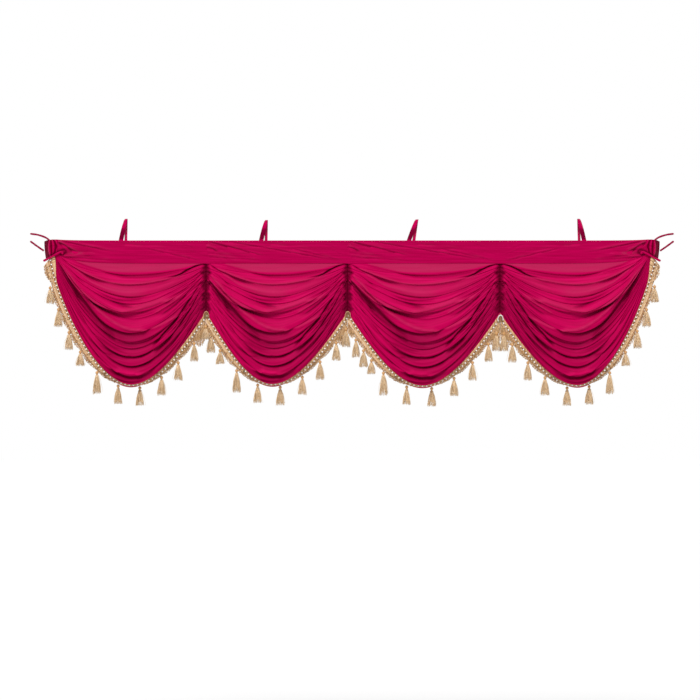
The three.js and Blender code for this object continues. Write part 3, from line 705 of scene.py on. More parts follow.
def clothGrid(swag, u, levels):
    # the cloth's points [level][column], and there its painted shade with some uneven tone, and its painted
    # highlights
    v = levels[:, None]
    across = inFirstBay(swag, u)
    widths = foldWidths(swag, u)
    index = foldIndex(v)
    shape = foldShape(np.clip(v - index, 0, 1))
    width = widths[index[:, 0]]
    root = hangingLine(swag, u[None], index.astype(float))
    down = unit(hangingLine(swag, u[None], index + 1.0) - root)
    heights = np.array([np.interp(across, foldPlaces, row) for row in foldHeights])
    size = heights[index[:, 0]] * (1 - swagLook["heldDown"] * np.abs(u) ** 9)
    place = downTo(widths, np.broadcast_to(v, width.shape))
    creased, highlight, dark = creaseRelief(across, widths, place)
    fine, valleys = fineRelief(across[None], u[None], v)
    ridge = smooth(creased / 6)
    bunch = gathered(swag, u[None], place) * (1 - 0.8 * ridge)
    ripple = gather["ripple"] * np.sin(place / gather["rippleLong"] + 30 * np.abs(u)[None])
    relief = (creased + fine) * smooth(v / 0.5) - (gather["recess"] - ripple) * bunch * smooth(v / 0.4)
    forward = size * shape + relief
    full = foldColumn("droop")[index] / swagLook["fullDroop"]
    droop = swagLook["droop"] * width * (1 - np.abs(u) ** 4) * full
    points = hangingLine(swag, u[None], v)
    points[..., 1] -= forward
    points = points + down * (droop * shape + 0.3 * np.maximum(relief, 0))[..., None]
    # painted shade in the corner's tight pleats and on the lower folds, added to that of slopes, hollows,
    # creases and pleat valleys, with some uneven tone; ridges get less
    tight = swag["cornered"] * smooth((-across[None] - 0.45) / 0.4) * smooth((v - 4.5) / 2)
    tight = shade["corner"] * tight * (0.55 + 0.6 * np.sin(2 * math.pi * 1.15 * v + 3 * across[None]))
    lower = smooth((v - shade["lowerFrom"]) / 4) * (1 - smooth((-across[None] - 0.3) / 0.3))
    tone = shade["tone"] * (0.5 + wander(across[None] * 2.3, index * 2.7 + v * 0.6, 12))
    tone = tone * (0.35 + 0.65 * lower) + shade["lower"] * lower
    darker = shadeOf(place, forward) + dark + valleys + tight + np.maximum(tone, 0)
    darker = shade["most"] * np.clip(darker - shade["ridgeShare"] * ridge, 0, 1)
    # painted shade also where the cloth turns back into a junction
    return points, np.maximum(darker, gather["darker"] * bunch * smooth(v / 0.3)), highlight


def stripFrame(swag, u, width):
    # a point of the strip below the last fold, and the direction that its face looks
    u, width = np.broadcast_arrays(np.asarray(u, float), np.asarray(width, float))
    step = 0.004
    before = hangingLine(swag, np.maximum(-1, u - step), foldCount)
    after = hangingLine(swag, np.minimum(1, u + step), foldCount)
    along = unit(after - before)
    flat = unit(np.stack([along[..., 2], np.zeros_like(u), -along[..., 0]], axis=-1))
    edge = hangingLine(swag, u, foldCount)
    onLeft = (u < 0) != swag["mirrored"]
    reach = np.where(onLeft, swagLook["reachLeft"], swagLook["reachRight"])
    turned = swagLook["turnedUnder"] * bump(edge[..., 0] - swag["low"][0], reach)
    outward = flat * np.cos(turned)[..., None]
    outward[..., 1] = np.sin(turned)
    return edge + outward * width[..., None], unit(np.cross(outward, along))


mitreWidths = np.arange(0, 81, 8)


def mitreTable(swag, side, sign):
    # how far along the hem a strip of each width reaches before it meets its neighbour
    if swag[side]["corner"]:
        return sign * (1 - swagLook["cornerSlant"] * mitreWidths)
    limit = swag[side]["x"] - sign * swagLook["clearance"]
    inside, outside = np.outer((0.5 * sign, sign), np.ones(len(mitreWidths)))
    for _ in range(30):
        u = (inside + outside) / 2
        within = (stripFrame(swag, u, mitreWidths)[0][:, 0] - limit) * sign < 0
        inside, outside = np.where(within, u, inside), np.where(within, outside, u)
    inside[0] = sign
    return inside


for swag in swags:
    swag["mitre"] = [mitreTable(swag, side, sign) for side, sign in sides]


def stripPoint(swag, u, width, lift=0.0):
    start, end = (np.interp(width, mitreWidths, table) for table in swag["mitre"])
    point, facing = stripFrame(swag, mix(start, end, (np.asarray(u) + 1) / 2), width)
    return point + facing * np.asarray(lift, float)[..., None]


# Where a swag's rows lie within each fold, and how its hem turns back and tucks under.
foldSteps = (0, 0.07, 0.15, 0.24, 0.33, 0.42, 0.5, 0.57, 0.63, 0.69, 0.74, 0.79, 0.84, 0.89, 0.95)
hem = {"low": 9, "lowReach": 95, "tucked": 20, "tuckedLow": 20, "behind": -2.3, "darker": 0.15,
       "turn": ((3, -0.2), (6, -1.2), (9, -2.3)),
       "tuck": ((0.4, 0), (0.75, 0), (0.93, 0.3), (1, 0.7), (1, 1))}


def paintedLight(swag, u, v):
    # painted light where a single layer lets light through: a crescent under the header, a band below it
    across = inFirstBay(swag, u)
    edge = 0.62 * np.clip((across + 0.74) / 0.4, 0, 1) ** 0.6 * np.clip((1.0 - across) / 0.35, 0, 1) ** 0.8
    crescent = smooth((edge - v) / 0.1 + 0.5) * (0.8 + 0.25 * wander(across * 9, v * 12, 8))
    window = smooth((across + 0.62) / 0.5) * smooth((0.85 - across) / 0.4)
    below = window * bump(v - 2.45, 0.55) * (0.6 + 0.4 * wander(across * 7, v * 2, 4))
    return np.clip(crescent * 0.9 + below * 0.55, 0, 1)


def addSeamReturns(swag, points):
    # each side edge turns back, and one of a junction's two passes behind the other
    behind = 0 if swag["right"]["corner"] else 5
    left, right = points[:, 0] + [0, 4.5, 0], points[:, -1] + [0, 4.5, 0]
    left = np.stack([left + [0, 1.5, 0], left], axis=1)
    right = np.stack([right, right + [behind, 3 if behind else 1.5, 0]], axis=1)
    return np.concatenate([left, points, right], axis=1)


def makeSwag(number, swag):
    even = np.linspace(-1, 1, swagLook["columns"] + 1)
    u = mix(even, np.sin(math.pi / 2 * even), swagLook["crowding"])
    levels = np.array([fold + step for fold in range(foldCount) for step in foldSteps][1:] + [foldCount])
    points, darker, highlight = clothGrid(swag, u, levels)
    joined = smooth((-0.62 - inFirstBay(swag, u)) / 0.12)[None]  # 1 where the header runs on into it
    darker *= 1 - joined * (1 - smooth(levels / 0.6))[:, None]
    points[..., 1] = mix(-headerLook["apart"] * joined, points[..., 1], smooth(levels / 0.12)[:, None])
    top = hangingLine(swag, u, 0.0)
    top[:, 1] = 0
    above = [top + [0, 0, rise] for rise in (7.0, 1.5)]
    lowest = bump(stripPoint(swag, u, 0.0)[:, 0] - swag["low"][0], hem["lowReach"])
    below = [stripPoint(swag, u, np.full_like(u, width), np.full_like(u, lift))
             for width, lift in hem["turn"]]
    for share, drop in hem["tuck"]:
        reach = mix(9, hem["tucked"] + hem["tuckedLow"] * lowest, share)
        below.append(stripPoint(swag, u, reach, np.full_like(u, hem["behind"])))
        below[-1][:, 2] -= hem["low"] * lowest * drop
    # painted light: the glow through a single layer and the creases' painted highlights, less where shade
    # is painted
    paler = np.clip(paintedLight(swag, u[None], levels[:, None]) + highlight, 0, 1) * (1 - 0.7 * darker)
    padding = ((len(above), len(below)), (2, 2))
    paler, darker = np.pad(paler, padding, mode="edge"), np.pad(darker, padding, mode="edge")
    paler[-len(below):] = 0
    darker[-len(below):] = hem["darker"]
    points = addSeamReturns(swag, np.concatenate([above, points, below]))
    name = f"swag_{number}_cloth"
    piece = addPiece(name, clothMesh(name, points, darker, paler), f"swag_{number}")
    thicken(piece, swagLook["thickness"])


headerLook = {
    "columns": 370, "frontRows": 40, "backRows": 4, "thickness": 0.8, "apart": 1.2, "top": -1.4,
    "seamDepth": 1.6, "seamHalf": 2.6, "tone": 0.2, "cornerLift": 5, "liftReach": 70,
    "rollLine": (-1405, -54, -1470, -84), "rollDark": 0.75, "rollAway": 10, "rollFade": 6,
    "flat": (2.88, 0.224),
}
# Drag creases of a bay: from and to as (share across the bay, z), depth and half width.
dragCreases = [
    ((0.01, -5), (0.42, -79), 4.6, 3.6),
    ((0.11, 0), (0.97, -104), 3.8, 3.2),
    ((0.005, -33), (0.085, -58), 7.0, 5.5),
    ((0.0, -27), (0.05, -36), -3.0, 6.0),
    ((0.59, -38), (0.99, -104), 3.4, 3.2),
    ((0.0, -20), (0.5, -66), 1.6, 5.0),
    ((0.0, -62), (0.35, -88), 3.0, 6.0),
    ((0.0, -80), (0.42, -100), 3.2, 5.0),
    ((0.3, -2), (0.9, -60), 1.4, 5.0),
    ((0.45, -28), (0.72, -34), -2.2, 5.0),
    ((0.84, -18), (0.93, -40), 1.8, 2.6),
    ((0.88, -46), (0.98, -74), 1.8, 2.6),
    ((0.80, -60), (0.9, -88), 1.6, 2.6),
]
# More of them, only by an outer end, where the cloth is pulled to the ties.
cornerCreases = [
    ((0.008, -12), (0.145, -66), 10, 5.5),
    ((0.0, -2), (0.36, -52), 5, 3.6),
    ((0.04, -76), (0.26, -66), -6, 7),
]


def headerRelief(x, z, down):
    # the header's unevenness in millimetres forward, and its painted highlights
    relief, highlight = np.zeros((2, *x.shape))
    for swag in swags:
        left, span = swag["left"]["x"], swag["right"]["x"] - swag["left"]["x"]
        share = (x - left) / span
        inside = (share >= 0) & (share <= 1)
        if swag["mirrored"]:
            share = 1 - share
        for (fromX, fromZ), (toX, toZ), depth, width in (
                dragCreases[4:] + cornerCreases if swag["cornered"] else dragCreases):
            runX, runZ = (toX - fromX) * span, toZ - fromZ
            length = math.hypot(runX, runZ)
            offX, offZ = (share - fromX) * span, z - fromZ
            along = (offX * runX + offZ * runZ) / length**2
            off = (offZ * runX - offX * runZ) / length
            fade = np.clip(along / 0.08, 0, 1) * np.clip((1 - along) / 0.25, 0, 1) * inside
            relief += depth * fade * (0.7 * bump(off - 1.7 * width, 1.5 * width) - bump(off, width))
            # a painted highlight beside each crease
            bright = bump(off - 1.5 * width, 0.8 * width) * smooth(wander(share * 31, z / 19, 7) + 0.4)
            highlight += 0.1 * abs(depth) * fade * bright
        fan = np.arctan2(-(z - 6), share * span + 30)
        fanned = np.sin(34 * fan + 1.2) * np.exp(-share * span / 260)
        calm = smooth((share * span - 130) / 60) if swag["cornered"] else 1
        crinkled = smooth((share - 0.62) / 0.3)
        crinkle = wander(share * span * 0.16, z * 0.21, 6)
        relief += np.where(inside, 1.3 * fanned * calm + (0.15 + 0.45 * crinkled) * crinkle, 0)
        # painted highlights on the crinkles' crests
        highlight += np.where(inside, 0.5 * (0.25 + crinkled) * smooth((crinkle - 0.45) / 0.3), 0)
    held = smooth(down / 0.08) * smooth((1 - down) / 0.06)
    return (relief + 1.2 * wander(x / 150, z / 70, 2)) * held, np.clip(highlight, 0, 0.75) * held


def rollShadow(x, z):
    # how dark the cloth is beside the rolled edge at each outer end
    fromX, fromZ, toX, toZ = headerLook["rollLine"]
    runX, runZ = toX - fromX, toZ - fromZ
    offX, offZ = -np.abs(x) - fromX, z - fromZ
    along = np.clip((offX * runX + offZ * runZ) / (runX**2 + runZ**2), 0, 1)
    away = np.hypot(offX - along * runX, offZ - along * runZ)
    return headerLook["rollDark"] * bump(away - headerLook["rollAway"], headerLook["rollFade"])


def makeHeader():
    look = headerLook
    x = np.linspace(-halfLength, halfLength, look["columns"] + 1)[None]
    seams = look["seamDepth"] * sum(bump(x - swag["left"]["x"], look["seamHalf"]) for swag in swags[1:])

    def face(shares):
        z = -headerDrop(x) * shares
        relief, highlight = headerRelief(np.broadcast_to(x, z.shape), z, np.broadcast_to(shares, z.shape))
        return z, relief - seams * smooth(shares / 0.1), highlight

    def placed(forward, z):
        return np.stack([np.broadcast_to(x, z.shape), np.broadcast_to(-forward, z.shape), z], axis=-1)

    apart, top = look["apart"], look["top"]
    backZ, backRelief, _ = face(np.linspace(1, 0, look["backRows"] + 1)[:, None])
    turn = math.pi * np.array([0.75, 0.5, 0.25])[:, None]
    z, relief, highlight = face(np.linspace(0, 1, look["frontRows"] + 1)[:, None])
    rows = np.concatenate([
        placed(np.minimum(backRelief, 1.5) - apart, np.minimum(backZ, top)),
        placed(apart * np.cos(turn), top + apart * np.sin(turn) + 0 * x),
        placed(apart + relief, np.minimum(z, top)),
    ])
    lift = look["cornerLift"] * np.exp(-(halfLength - np.abs(x)) / look["liftReach"])
    rows[..., 2] += lift * (1 + rows[..., 2] / headerDrop(x))
    # painted shade where the header faces down and in its hollows, a little darker all over, and the
    # painted shadow beside the rolled edges
    darker = np.clip(shadeOf(-z, relief) + look["tone"] + rollShadow(x, z), 0, 1)
    padding = ((len(rows) - len(darker), 0), (0, 0))
    mesh = clothMesh("header_band", rows, np.pad(darker, padding), np.pad(highlight, padding))
    piece = addPiece("header_band", mesh, "header")
    thicken(piece, look["thickness"])


makeHeader()
print("header made")
for number, swag in enumerate(swags, 1):
    makeSwag(number, swag)
print("swags made")

# A braid is an edge with pearls and beads, a plain band, and a scalloped lacy edge. Lace cords go
# from and to shares of the lace; then come their phase, radius, lift and material.
braidLook = {
    "inner": 6.6, "pearlsAt": 10.5, "pearlPitch": 20, "pearlRadius": 4.1, "beadRadius": 2.5,
    "bandTo": 31, "edge": 39, "scallop": 9, "fullScallop": 110, "laceStep": 13, "closeShare": 0.58,
    "laceCords": [(0.0, 0.75, 0, 1.15, 1.5, thread), (0.3, 1.02, 2.4, 1.25, 1.9, thread),
                  (0.66, 1.12, 4.6, 1.1, 1.1, band)],
    "ragged": 6.0, "uneven": 3.2, "knotPitch": 4.2, "knotSizes": (1.4, 3.1),
    "knotMix": (0.26, 0.22, 0.28, 0.14, 0.1), "shadedWithin": 170, "front": 1.0, "back": -0.9,
    "cornerFade": 135, "cornerInner": (27, 18), "cornerPearls": (-7, 2), "overCloth": 7,
    "cornerWaist": 13, "waistAt": 105, "waistReach": 45, "lowNarrow": 0.36, "lowReach": 62,
    "rightFill": 36, "leftFill": 16,
}
# The junctions' caps, arches of small beads over a bronze filling: top, radius, material.
capLook = {"half": 13, "tall": 30, "beads": 13, "forward": 10, "rows": 9, "fill": 2.4}
junctionCaps = {1: (-346, 2.3, band), 2: (-346, 2.3, band), 3: (-364, 3.2, pearls)}

# Each swag's tassels: where along the hem, how far forward and down they hang, their lean and
# length. What a row leaves out is plain.
tasselNames = ("along", "forward", "drop", "lean", "long")
plainTassel = {"forward": 0, "drop": 2, "lean": 0, "long": 1}
tassels = [
    [(-0.92, 6.8, 0, 14, 0.92), (-0.815, 6.8, 0, 14, 0.98), (-0.68, 6.5, 0, 10, 0.98),
     (-0.54, 3.1, 0, 8, 0.8), (-0.35, 0, 2, 0, 1.18), (-0.12,), (0.145,), (0.42,), (0.63,), (0.84,),
     (1, 7.4, 0, 14, 0.76)],
    [(-0.92, -3, 0, -14, 0.95), (-0.77, 0, 2, -6, 0.8), (-0.52, 0, 2, 0, 1.2), (-0.225,), (0.1,),
     (0.39,), (0.62,), (0.84,), (0.98,)],
    [(-0.88,), (-0.77, 0, 2, 0, 0.94), (-0.66, -2.3, 2, -14, 0.8), (-0.5, 0, 2, 0, 1.22), (-0.21,),
     (0.12,), (0.4,), (0.63,), (0.84,), (0.95,)],
    [(-0.95,), (-0.84,), (-0.64,), (-0.43,), (-0.16,), (0.115,), (0.35, 0, 2, 0, 1.18),
     (0.54, 3.1, 0, 8, 0.8), (0.69, 6.5, 0, 10, 0.98), (0.815, 6.8, 0, 14, 0.98),
     (0.925, 6.8, 0, 14, 0.92)],
]
hemU = np.linspace(-1, 1, 801)
for swag, rows in zip(swags, tassels):
    swag["tassels"] = [{**plainTassel, **dict(zip(tasselNames, row))} for row in rows]
    swag["hemLong"] = walked(stripPoint(swag, hemU, 22.0))


def flankOf(swag, u):
    # across the bay in the first bay's sense, how near the outer corner (1 to 0), and how far off it
    fromEnd = np.interp(u, hemU, swag["hemLong"])
    if swag["mirrored"]:
        fromEnd = swag["hemLong"][-1] - fromEnd
    near = swag["cornered"] * (1 - smooth(fromEnd / braidLook["cornerFade"]))
    return inFirstBay(swag, u), near, np.where(swag["cornered"], fromEnd, 1000.0)


def scallopEdge(swag, u):
    # the lacy edge's width: it bellies between one tassel and the next and fills the junctions
    look = braidLook
    notches = [-1, *(row["along"] for row in swag["tassels"] if row["along"] < 1), 1]
    edge = look["edge"] + 0 * u
    for start, end in zip(notches, notches[1:]):
        long = np.ptp(np.interp([start, end], hemU, swag["hemLong"]))
        share = np.clip((u - start) / (end - start), 0, 1)
        edge = edge + look["scallop"] * min(1, long / look["fullScallop"]) * np.sin(math.pi * share)
    across, near, fromEnd = flankOf(swag, u)
    edge = edge - look["cornerWaist"] * bump(fromEnd - look["waistAt"], look["waistReach"])
    if not swag["cornered"]:
        edge = edge + look["leftFill"] * smooth((-across - 0.88) / 0.1)
    return edge + look["rightFill"] * smooth((across - 0.8) / 0.16)


def pearlRow(swag, u):
    across, near, _ = flankOf(swag, u)
    outward = 8 * smooth((across - 0.05) / 0.3) + braidLook["cornerPearls"][swag["mirrored"]] * near
    return braidLook["pearlsAt"] + outward


def fromLowest(swag, u):
    return stripPoint(swag, u, 20.0)[..., 0] - swag["low"][0]


def braidPoint(swag, u, width, lift):
    # a point of the braid, which is bent back and so looks narrower at the swag's low point
    low = bump(fromLowest(swag, u), braidLook["lowReach"])
    return stripPoint(swag, u, width * (1 - braidLook["lowNarrow"] * low), lift)


def addCap(pile, apex, top, radius, slot):
    half, tall = capLook["half"], capLook["tall"]
    for turn in np.linspace(-0.1, 1.1, capLook["beads"]) * math.pi:
        z = top - tall * (1 - max(math.sin(turn), 0)) * 0.75
        addBall(pile, (apex[0] + half * math.cos(turn), apex[1] - 2.5, z), [radius] * 3, slot, smallBall)
    for share in np.linspace(0.15, 1, capLook["rows"]):
        reach = half * math.sqrt(share)
        ends = [(apex[0] + side * reach, apex[1] + 1.5, top - tall * share) for side in (-1, 0, 1)]
        addTube(pile, ends, capLook["fill"], 6, bronze)


def makeBraid(number, swag):
    look = braidLook
    pile = newPile()
    chance = np.random.default_rng(number)
    total = swag["hemLong"][-1]

    def at(distance):
        return np.interp(distance, swag["hemLong"], hemU)

    distance = np.linspace(0, total, int(total / 4))
    places = at(distance)
    across, near, _ = flankOf(swag, places)
    corner = near > 0.02
    plain = (across < 0.1) & ~corner
    # darker threads where the braid turns under by the low point: painted shade
    fromLow = np.abs(fromLowest(swag, places)) / look["shadedWithin"]
    shadedLow = 1.1 - fromLow + 0.5 * wander(distance / 6, distance / 40, number) > 0.3

    def grain(pale):
        # a thread colour for each step along the braid, more often the pale one where it is smooth
        shares = (pale, 0.72 * (1 - pale), 0.28 * (1 - pale))
        chosen = chance.choice((band, thread, bronze), len(places), p=shares)
        dull = chance.choice((thread, bronze), len(places), p=(0.45, 0.55))
        return np.where(shadedLow, dull, chosen)

    def ribbon(widths, lifts, slots):
        front = [braidPoint(swag, places, width, lift) for width, lift in zip(widths, lifts)]
        back = [braidPoint(swag, places, width, look["back"]) for width in widths]
        addRings(pile, np.stack(front + back[::-1], axis=1), slots)

    # the edge that carries the pearls, the plain band in three ribs, and the close part of the lace
    twist = 0.35 * np.sin(distance / 1.7)
    pearlLine = pearlRow(swag, places)
    inner = look["inner"] - 1 - look["cornerInner"][swag["mirrored"]] * near
    over = look["overCloth"] * near
    ribbon((inner, mix(inner, pearlLine - 3.9, 0.5), pearlLine - 3.9), (0.5 + over, 1.2 + over, 0.8),
           np.where(corner, grain(0.8), grain(0.25)))
    ribbon((pearlLine - 3.9, pearlLine - 2.5, pearlLine + 2.9), (0.5, 0.9, 0.7),
           np.where(corner, red, bronze))
    for lower, upper in ((0, 0.3), (0.34, 0.64), (0.68, 1)):
        widths = [mix(pearlLine + 3.5, look["bandTo"], mix(lower, upper, share))
                  for share in (0, 0.3, 0.75, 1)]
        ribbon(widths, (0.7, 1.6 + twist, 1.9 - twist, 0.8), np.where(plain, grain(0.85), grain(0.4)))
    first = look["bandTo"] + 0.7
    close = mix(first, scallopEdge(swag, places), look["closeShare"])
    close += look["ragged"] * wander(distance / 3.1, distance / 7, number)
    dark = wander(distance / 5, distance / 11, number + 4) > 0.35
    ribbon((first + 0 * close, mix(first, close, 0.5), np.maximum(close, look["bandTo"] + 2)),
           (0.1, 0.5 + twist, 0.0), np.where(dark, bronze, grain(0.3)))

    def cordAlong(s, widths, lifts, radius, slots, around=5):
        u = at(s)
        facing = stripFrame(swag, u, 20.0)[1]
        addTube(pile, braidPoint(swag, u, widths, lifts), radius, around, slots, facing)

    s = np.linspace(1.5, total - 1.5, int(total / 2.6))
    cordAlong(s, pearlRow(swag, at(s)) - 3.4 + 0.3 * np.sin(s / 1.3), 1.0 + 0.3 * np.cos(s / 1.3),
              1.1, band)
    cordAlong(s, look["bandTo"] + 0.8 + 0.7 * np.sin(s / 1.6), 1.3 + 0.4 * np.cos(s / 1.6), 1.1,
              np.where(np.sin(s / 2.3) > -0.2, red, thread))
    s = np.linspace(1.5, total - 1.5, int(total / 2.0))
    turns = 2 * math.pi * s / look["laceStep"]
    for inside, outside, phase, radius, lift, slot in look["laceCords"]:
        outer = scallopEdge(swag, at(s)) + look["uneven"] * wander(s / 4.5, s / 13, phase + number)
        swing = np.sin(turns + phase + 0.8 * wander(s / 17, s / 31, phase))
        share = (inside + outside) / 2 + (outside - inside) / 2 * swing
        cordAlong(s, mix(look["bandTo"], outer, share), lift + 0.7 * np.cos(turns + phase), radius, slot, 4)

    def bead(s, width, lift, size, slot, shape=ball):
        addBall(pile, braidPoint(swag, at(s), width, lift), [size] * 3, slot, shape)

    # pearls with a bead between each two, and small beads and knots strewn over the lace
    for s in np.arange(look["pearlPitch"] / 2, total - 4, look["pearlPitch"]):
        bead(s, pearlRow(swag, at(s)), look["front"] + 2.6, look["pearlRadius"], pearls)
        for aside, slot in ((-3.1, ambers), (3.1, bronze)):
            place = s + look["pearlPitch"] / 2 + aside
            if place < total - 3:
                width = pearlRow(swag, at(place)) - 0.4
                bead(place, width, look["front"] + 1.2, look["beadRadius"], slot)
    for s in np.arange(3, total - 3, look["knotPitch"]):
        place = s + chance.uniform(-1.5, 1.5)
        outer = scallopEdge(swag, at(place))
        width = mix(look["bandTo"] + 1, outer + 2.5, math.sqrt(chance.random()))
        size = chance.uniform(*look["knotSizes"])
        bead(place, width, 2.0, size, int(chance.choice(5, p=look["knotMix"])), smallBall)
    if number in junctionCaps:
        addCap(pile, stripPoint(swag, 1.0, 10.0, capLook["forward"]), *junctionCaps[number])
    name = f"braid_{number}_beaded"
    addPiece(name, pileMesh(name, pile), f"braid_{number}", braidMaterials)


for number, swag in enumerate(swags, 1):
    makeBraid(number, swag)
print("braid made")

tasselLook = {
    "length": 100, "strands": 74, "strandSteps": 7, "strandRadius": 1.2, "bead": 8.0, "skirt": 22.5,
    "strayEach": 9, "strayWider": 1.3, "raggedFoot": 0.12, "neckAt": 27, "variants": 4,
    "core": ((0, 3), (0.12, 5), (0.3, 6.5), (0.6, 8.5), (1, 9.5)),
}


def tasselShape(seed):
    # bead, wound neck and skirt of a tassel hanging from its origin, in millimetres
    look = tasselLook
    chance = np.random.default_rng(seed)
    pile = newPile()
    addTube(pile, [(0, 0, 0.5), (0, 0, -3), (0, 0, -6.5)], 1.0, 6, 0)
    verts, faces = ribbedBall
    turn = np.arctan2(verts[:, 1], verts[:, 0])
    ribbed = verts * (1 - 0.09 * np.abs(np.cos(5 * turn)) * (1 - verts[:, 2] ** 2))[:, None]
    addToPile(pile, ribbed * look["bead"] + [0, 0, -12], faces, 1)
    addBall(pile, (0.4, -0.3, -20.3), (4.6, 4.6, 2.4), 1)
    addBall(pile, (-0.3, 0.2, -24), (5.6, 5.6, 2.4), 0)
    foot = -look["length"]
    shares, widths = zip(*look["core"])
    addTube(pile, [(0, 0, mix(-24, foot + 22, share)) for share in shares], widths, 10, 0)
    along = np.linspace(0, 1, look["strandSteps"])
    bell = 0.27 + 0.25 * smooth(along * 2.2) + 0.48 * along**1.2
    for k in range(look["strands"]):
        angle = 2 * math.pi * (k * 0.618 + 0.02 * chance.standard_normal())
        spread = look["skirt"] * math.sqrt(0.3 + 0.7 * chance.random())
        stray = k % look["strayEach"] == 5
        if stray:
            spread *= look["strayWider"]
        radius = spread * bell * (1 - 0.06 * smooth((along - 0.85) / 0.15))
        sway = angle + 0.16 * np.sin(along * 5 + k) * along
        z = mix(-22.5, foot * (1 - look["raggedFoot"] * chance.random()), along)
        points = np.stack([radius * np.cos(sway), radius * np.sin(sway), z], axis=-1)
        points[:, :2] += 0.9 * np.sin(along * 11 + k * 1.3)[:, None] * along[:, None]
        thick = look["strandRadius"] * (1.1 - 0.4 * along) * (0.5 if stray else 1)
        addTube(pile, points, thick, 3, 0, (math.cos(angle), math.sin(angle), 0.3))
    return pile


tasselPiles = [tasselShape(seed) for seed in range(tasselLook["variants"])]


def makeTassel(number, swag, place):
    source = tasselPiles[(number * 7) % len(tasselPiles)]
    long, neck = tasselLook["length"], tasselLook["neckAt"]
    cos, sin = math.cos(number * 2.3), math.sin(number * 2.3)
    spun = np.concatenate(source["verts"]) @ [[cos, sin, 0], [-sin, cos, 0], [0, 0, 1]]
    longer = (long * place["long"] - neck) / (long - neck)
    spun[:, 2] -= np.maximum(0, -neck - spun[:, 2]) * (longer - 1)
    lean = -math.atan2(place["lean"], long)
    cos, sin = math.cos(lean), math.sin(lean)
    origin = stripPoint(swag, place["along"], braidLook["edge"]) + [0, -place["forward"], -place["drop"]]
    verts = spun @ [[1, 0, 0], [0, cos, sin], [0, -sin, cos]] + origin
    name = f"tassel_{number:02d}"
    mesh = pileMesh(f"{name}_threads", {**source, "verts": [verts]})
    addPiece(f"{name}_threads", mesh, name, [tasselThread, goldBead])


hung = [(swag, place) for swag in swags for place in swag["tassels"]]
for number, (swag, place) in enumerate(hung, 1):
    makeTassel(number, swag, place)
print("tassels made:", len(hung))

# The hanging loops, of folded tape: where each hangs and to which side it slants, how far its top
# stands to the right, and its height.
loopPlaces = [(-1100, -1, 0, 106), (-417, -1, 0, 100), (303, -1, 13, 103), (1105, 1, -1, 106)]
loopLook = {
    "width": 22, "thickness": 1.4, "sewn": 18, "gap": 13, "slant": 25.5, "lean": 1.5, "bulge": 0.5,
    "steps": 22, "turned": math.radians(51), "shaded": 0.75, "shadedTo": 46, "edgeDark": 0.5,
    "sewnY": 2.8, "cup": 0.9, "long": 0.250,
}


def makeLoop(number, x, side, topShift, height):
    look = loopLook
    gap, sewnY = look["gap"], look["sewnY"]
    legTop = height - gap / 2

    def leg(footX, reach, bulge):
        z = np.linspace(-look["sewn"], legTop, look["steps"] + 1)
        share = np.clip(z / height, 0, 1)
        middle = mix(x + footX, x + topShift, share) + bulge * np.sin(math.pi * share)
        return np.stack([middle, sewnY + reach * smooth((z + 4) / 60), z], axis=-1)

    front = leg(look["slant"] * side, -0.6 * gap, look["bulge"] * side)
    back = leg(look["lean"] * side, 0.4 * gap, 0)
    turns = np.linspace(0, math.pi, 9)[1:-1]
    arch = np.stack([x + topShift + 0 * turns, sewnY - gap * (0.1 + 0.5 * np.cos(turns)),
                     legTop + 0.42 * gap * np.sin(turns)], axis=-1)
    path = np.concatenate([front, arch, back[::-1]])
    z = path[:, 2]
    onBack = np.arange(len(path)) >= len(front)
    twist = look["turned"] * np.where(onBack, smooth((z + 16) / 14), np.clip(z / height, 0, 1) ** 2)
    across = np.linspace(-1, 1, 7)
    sideways = np.stack([np.cos(twist), side * np.sin(twist), 0 * twist], axis=-1)
    points = path[:, None] + sideways[:, None] * across[None, :, None] * look["width"] / 2
    points[..., 1] -= look["cup"] * (1 - across**2)
    # painted shade on the front leg's lower part and along the back leg's outer edge
    shaded = look["shaded"] * smooth(z / 8) * (1 - smooth((z - look["shadedTo"]) / 24)) * ~onBack
    outer = smooth((-side * across - 0.45) / 0.3) * smooth((z[:, None] - 30) / 20)
    darker = np.clip(shaded[:, None] + look["edgeDark"] * outer * onBack[:, None], 0, 1)
    name = f"loop_{number}_tape"
    piece = addPiece(name, clothMesh(name, points, darker), f"loop_{number}")
    thicken(piece, look["thickness"])


for number, place in enumerate(loopPlaces, 1):
    makeLoop(number, *place)
print("loops made")

# The pleated ends, each with a rolled edge and its knot; a ridge is its middle and half width.
pleatLook = {
    "ridges": [(0.39, 0.085), (0.71, 0.09)], "depth": 15, "thickness": 1.6, "columns": 72, "rows": 26,
    "outerX": -1500, "lap": 5, "lapAt": -4.2, "cornerDrop": 9, "footOuter": -96, "footInner": -61,
    "pinch": 0.86, "flap": 16, "barrel": 0.85, "sideDark": 0.85, "gapDark": 0.9, "rollDarker": 0.1,
    "flat": (0.14, 0.08),
}
rolledEdge = {
    "route": [(-1502, 6, -99), (-1490, -6, -94), (-1470, -11, -84), (-1448, -12, -72), (-1430, -10, -62),
              (-1418, -9, -56), (-1411, -9, -57), (-1409, -10, -62), (-1413, -11, -65)],
    "radius": 5.2, "tips": (0.5, 0.6), "sides": 12, "steps": 6,
}


def mirrorMesh(mesh):
    whole = bmesh.new()
    whole.from_mesh(mesh)
    bmesh.ops.scale(whole, verts=whole.verts, vec=(-1, 1, 1))
    bmesh.ops.reverse_faces(whole, faces=whole.faces)
    whole.to_mesh(mesh)
    whole.free()


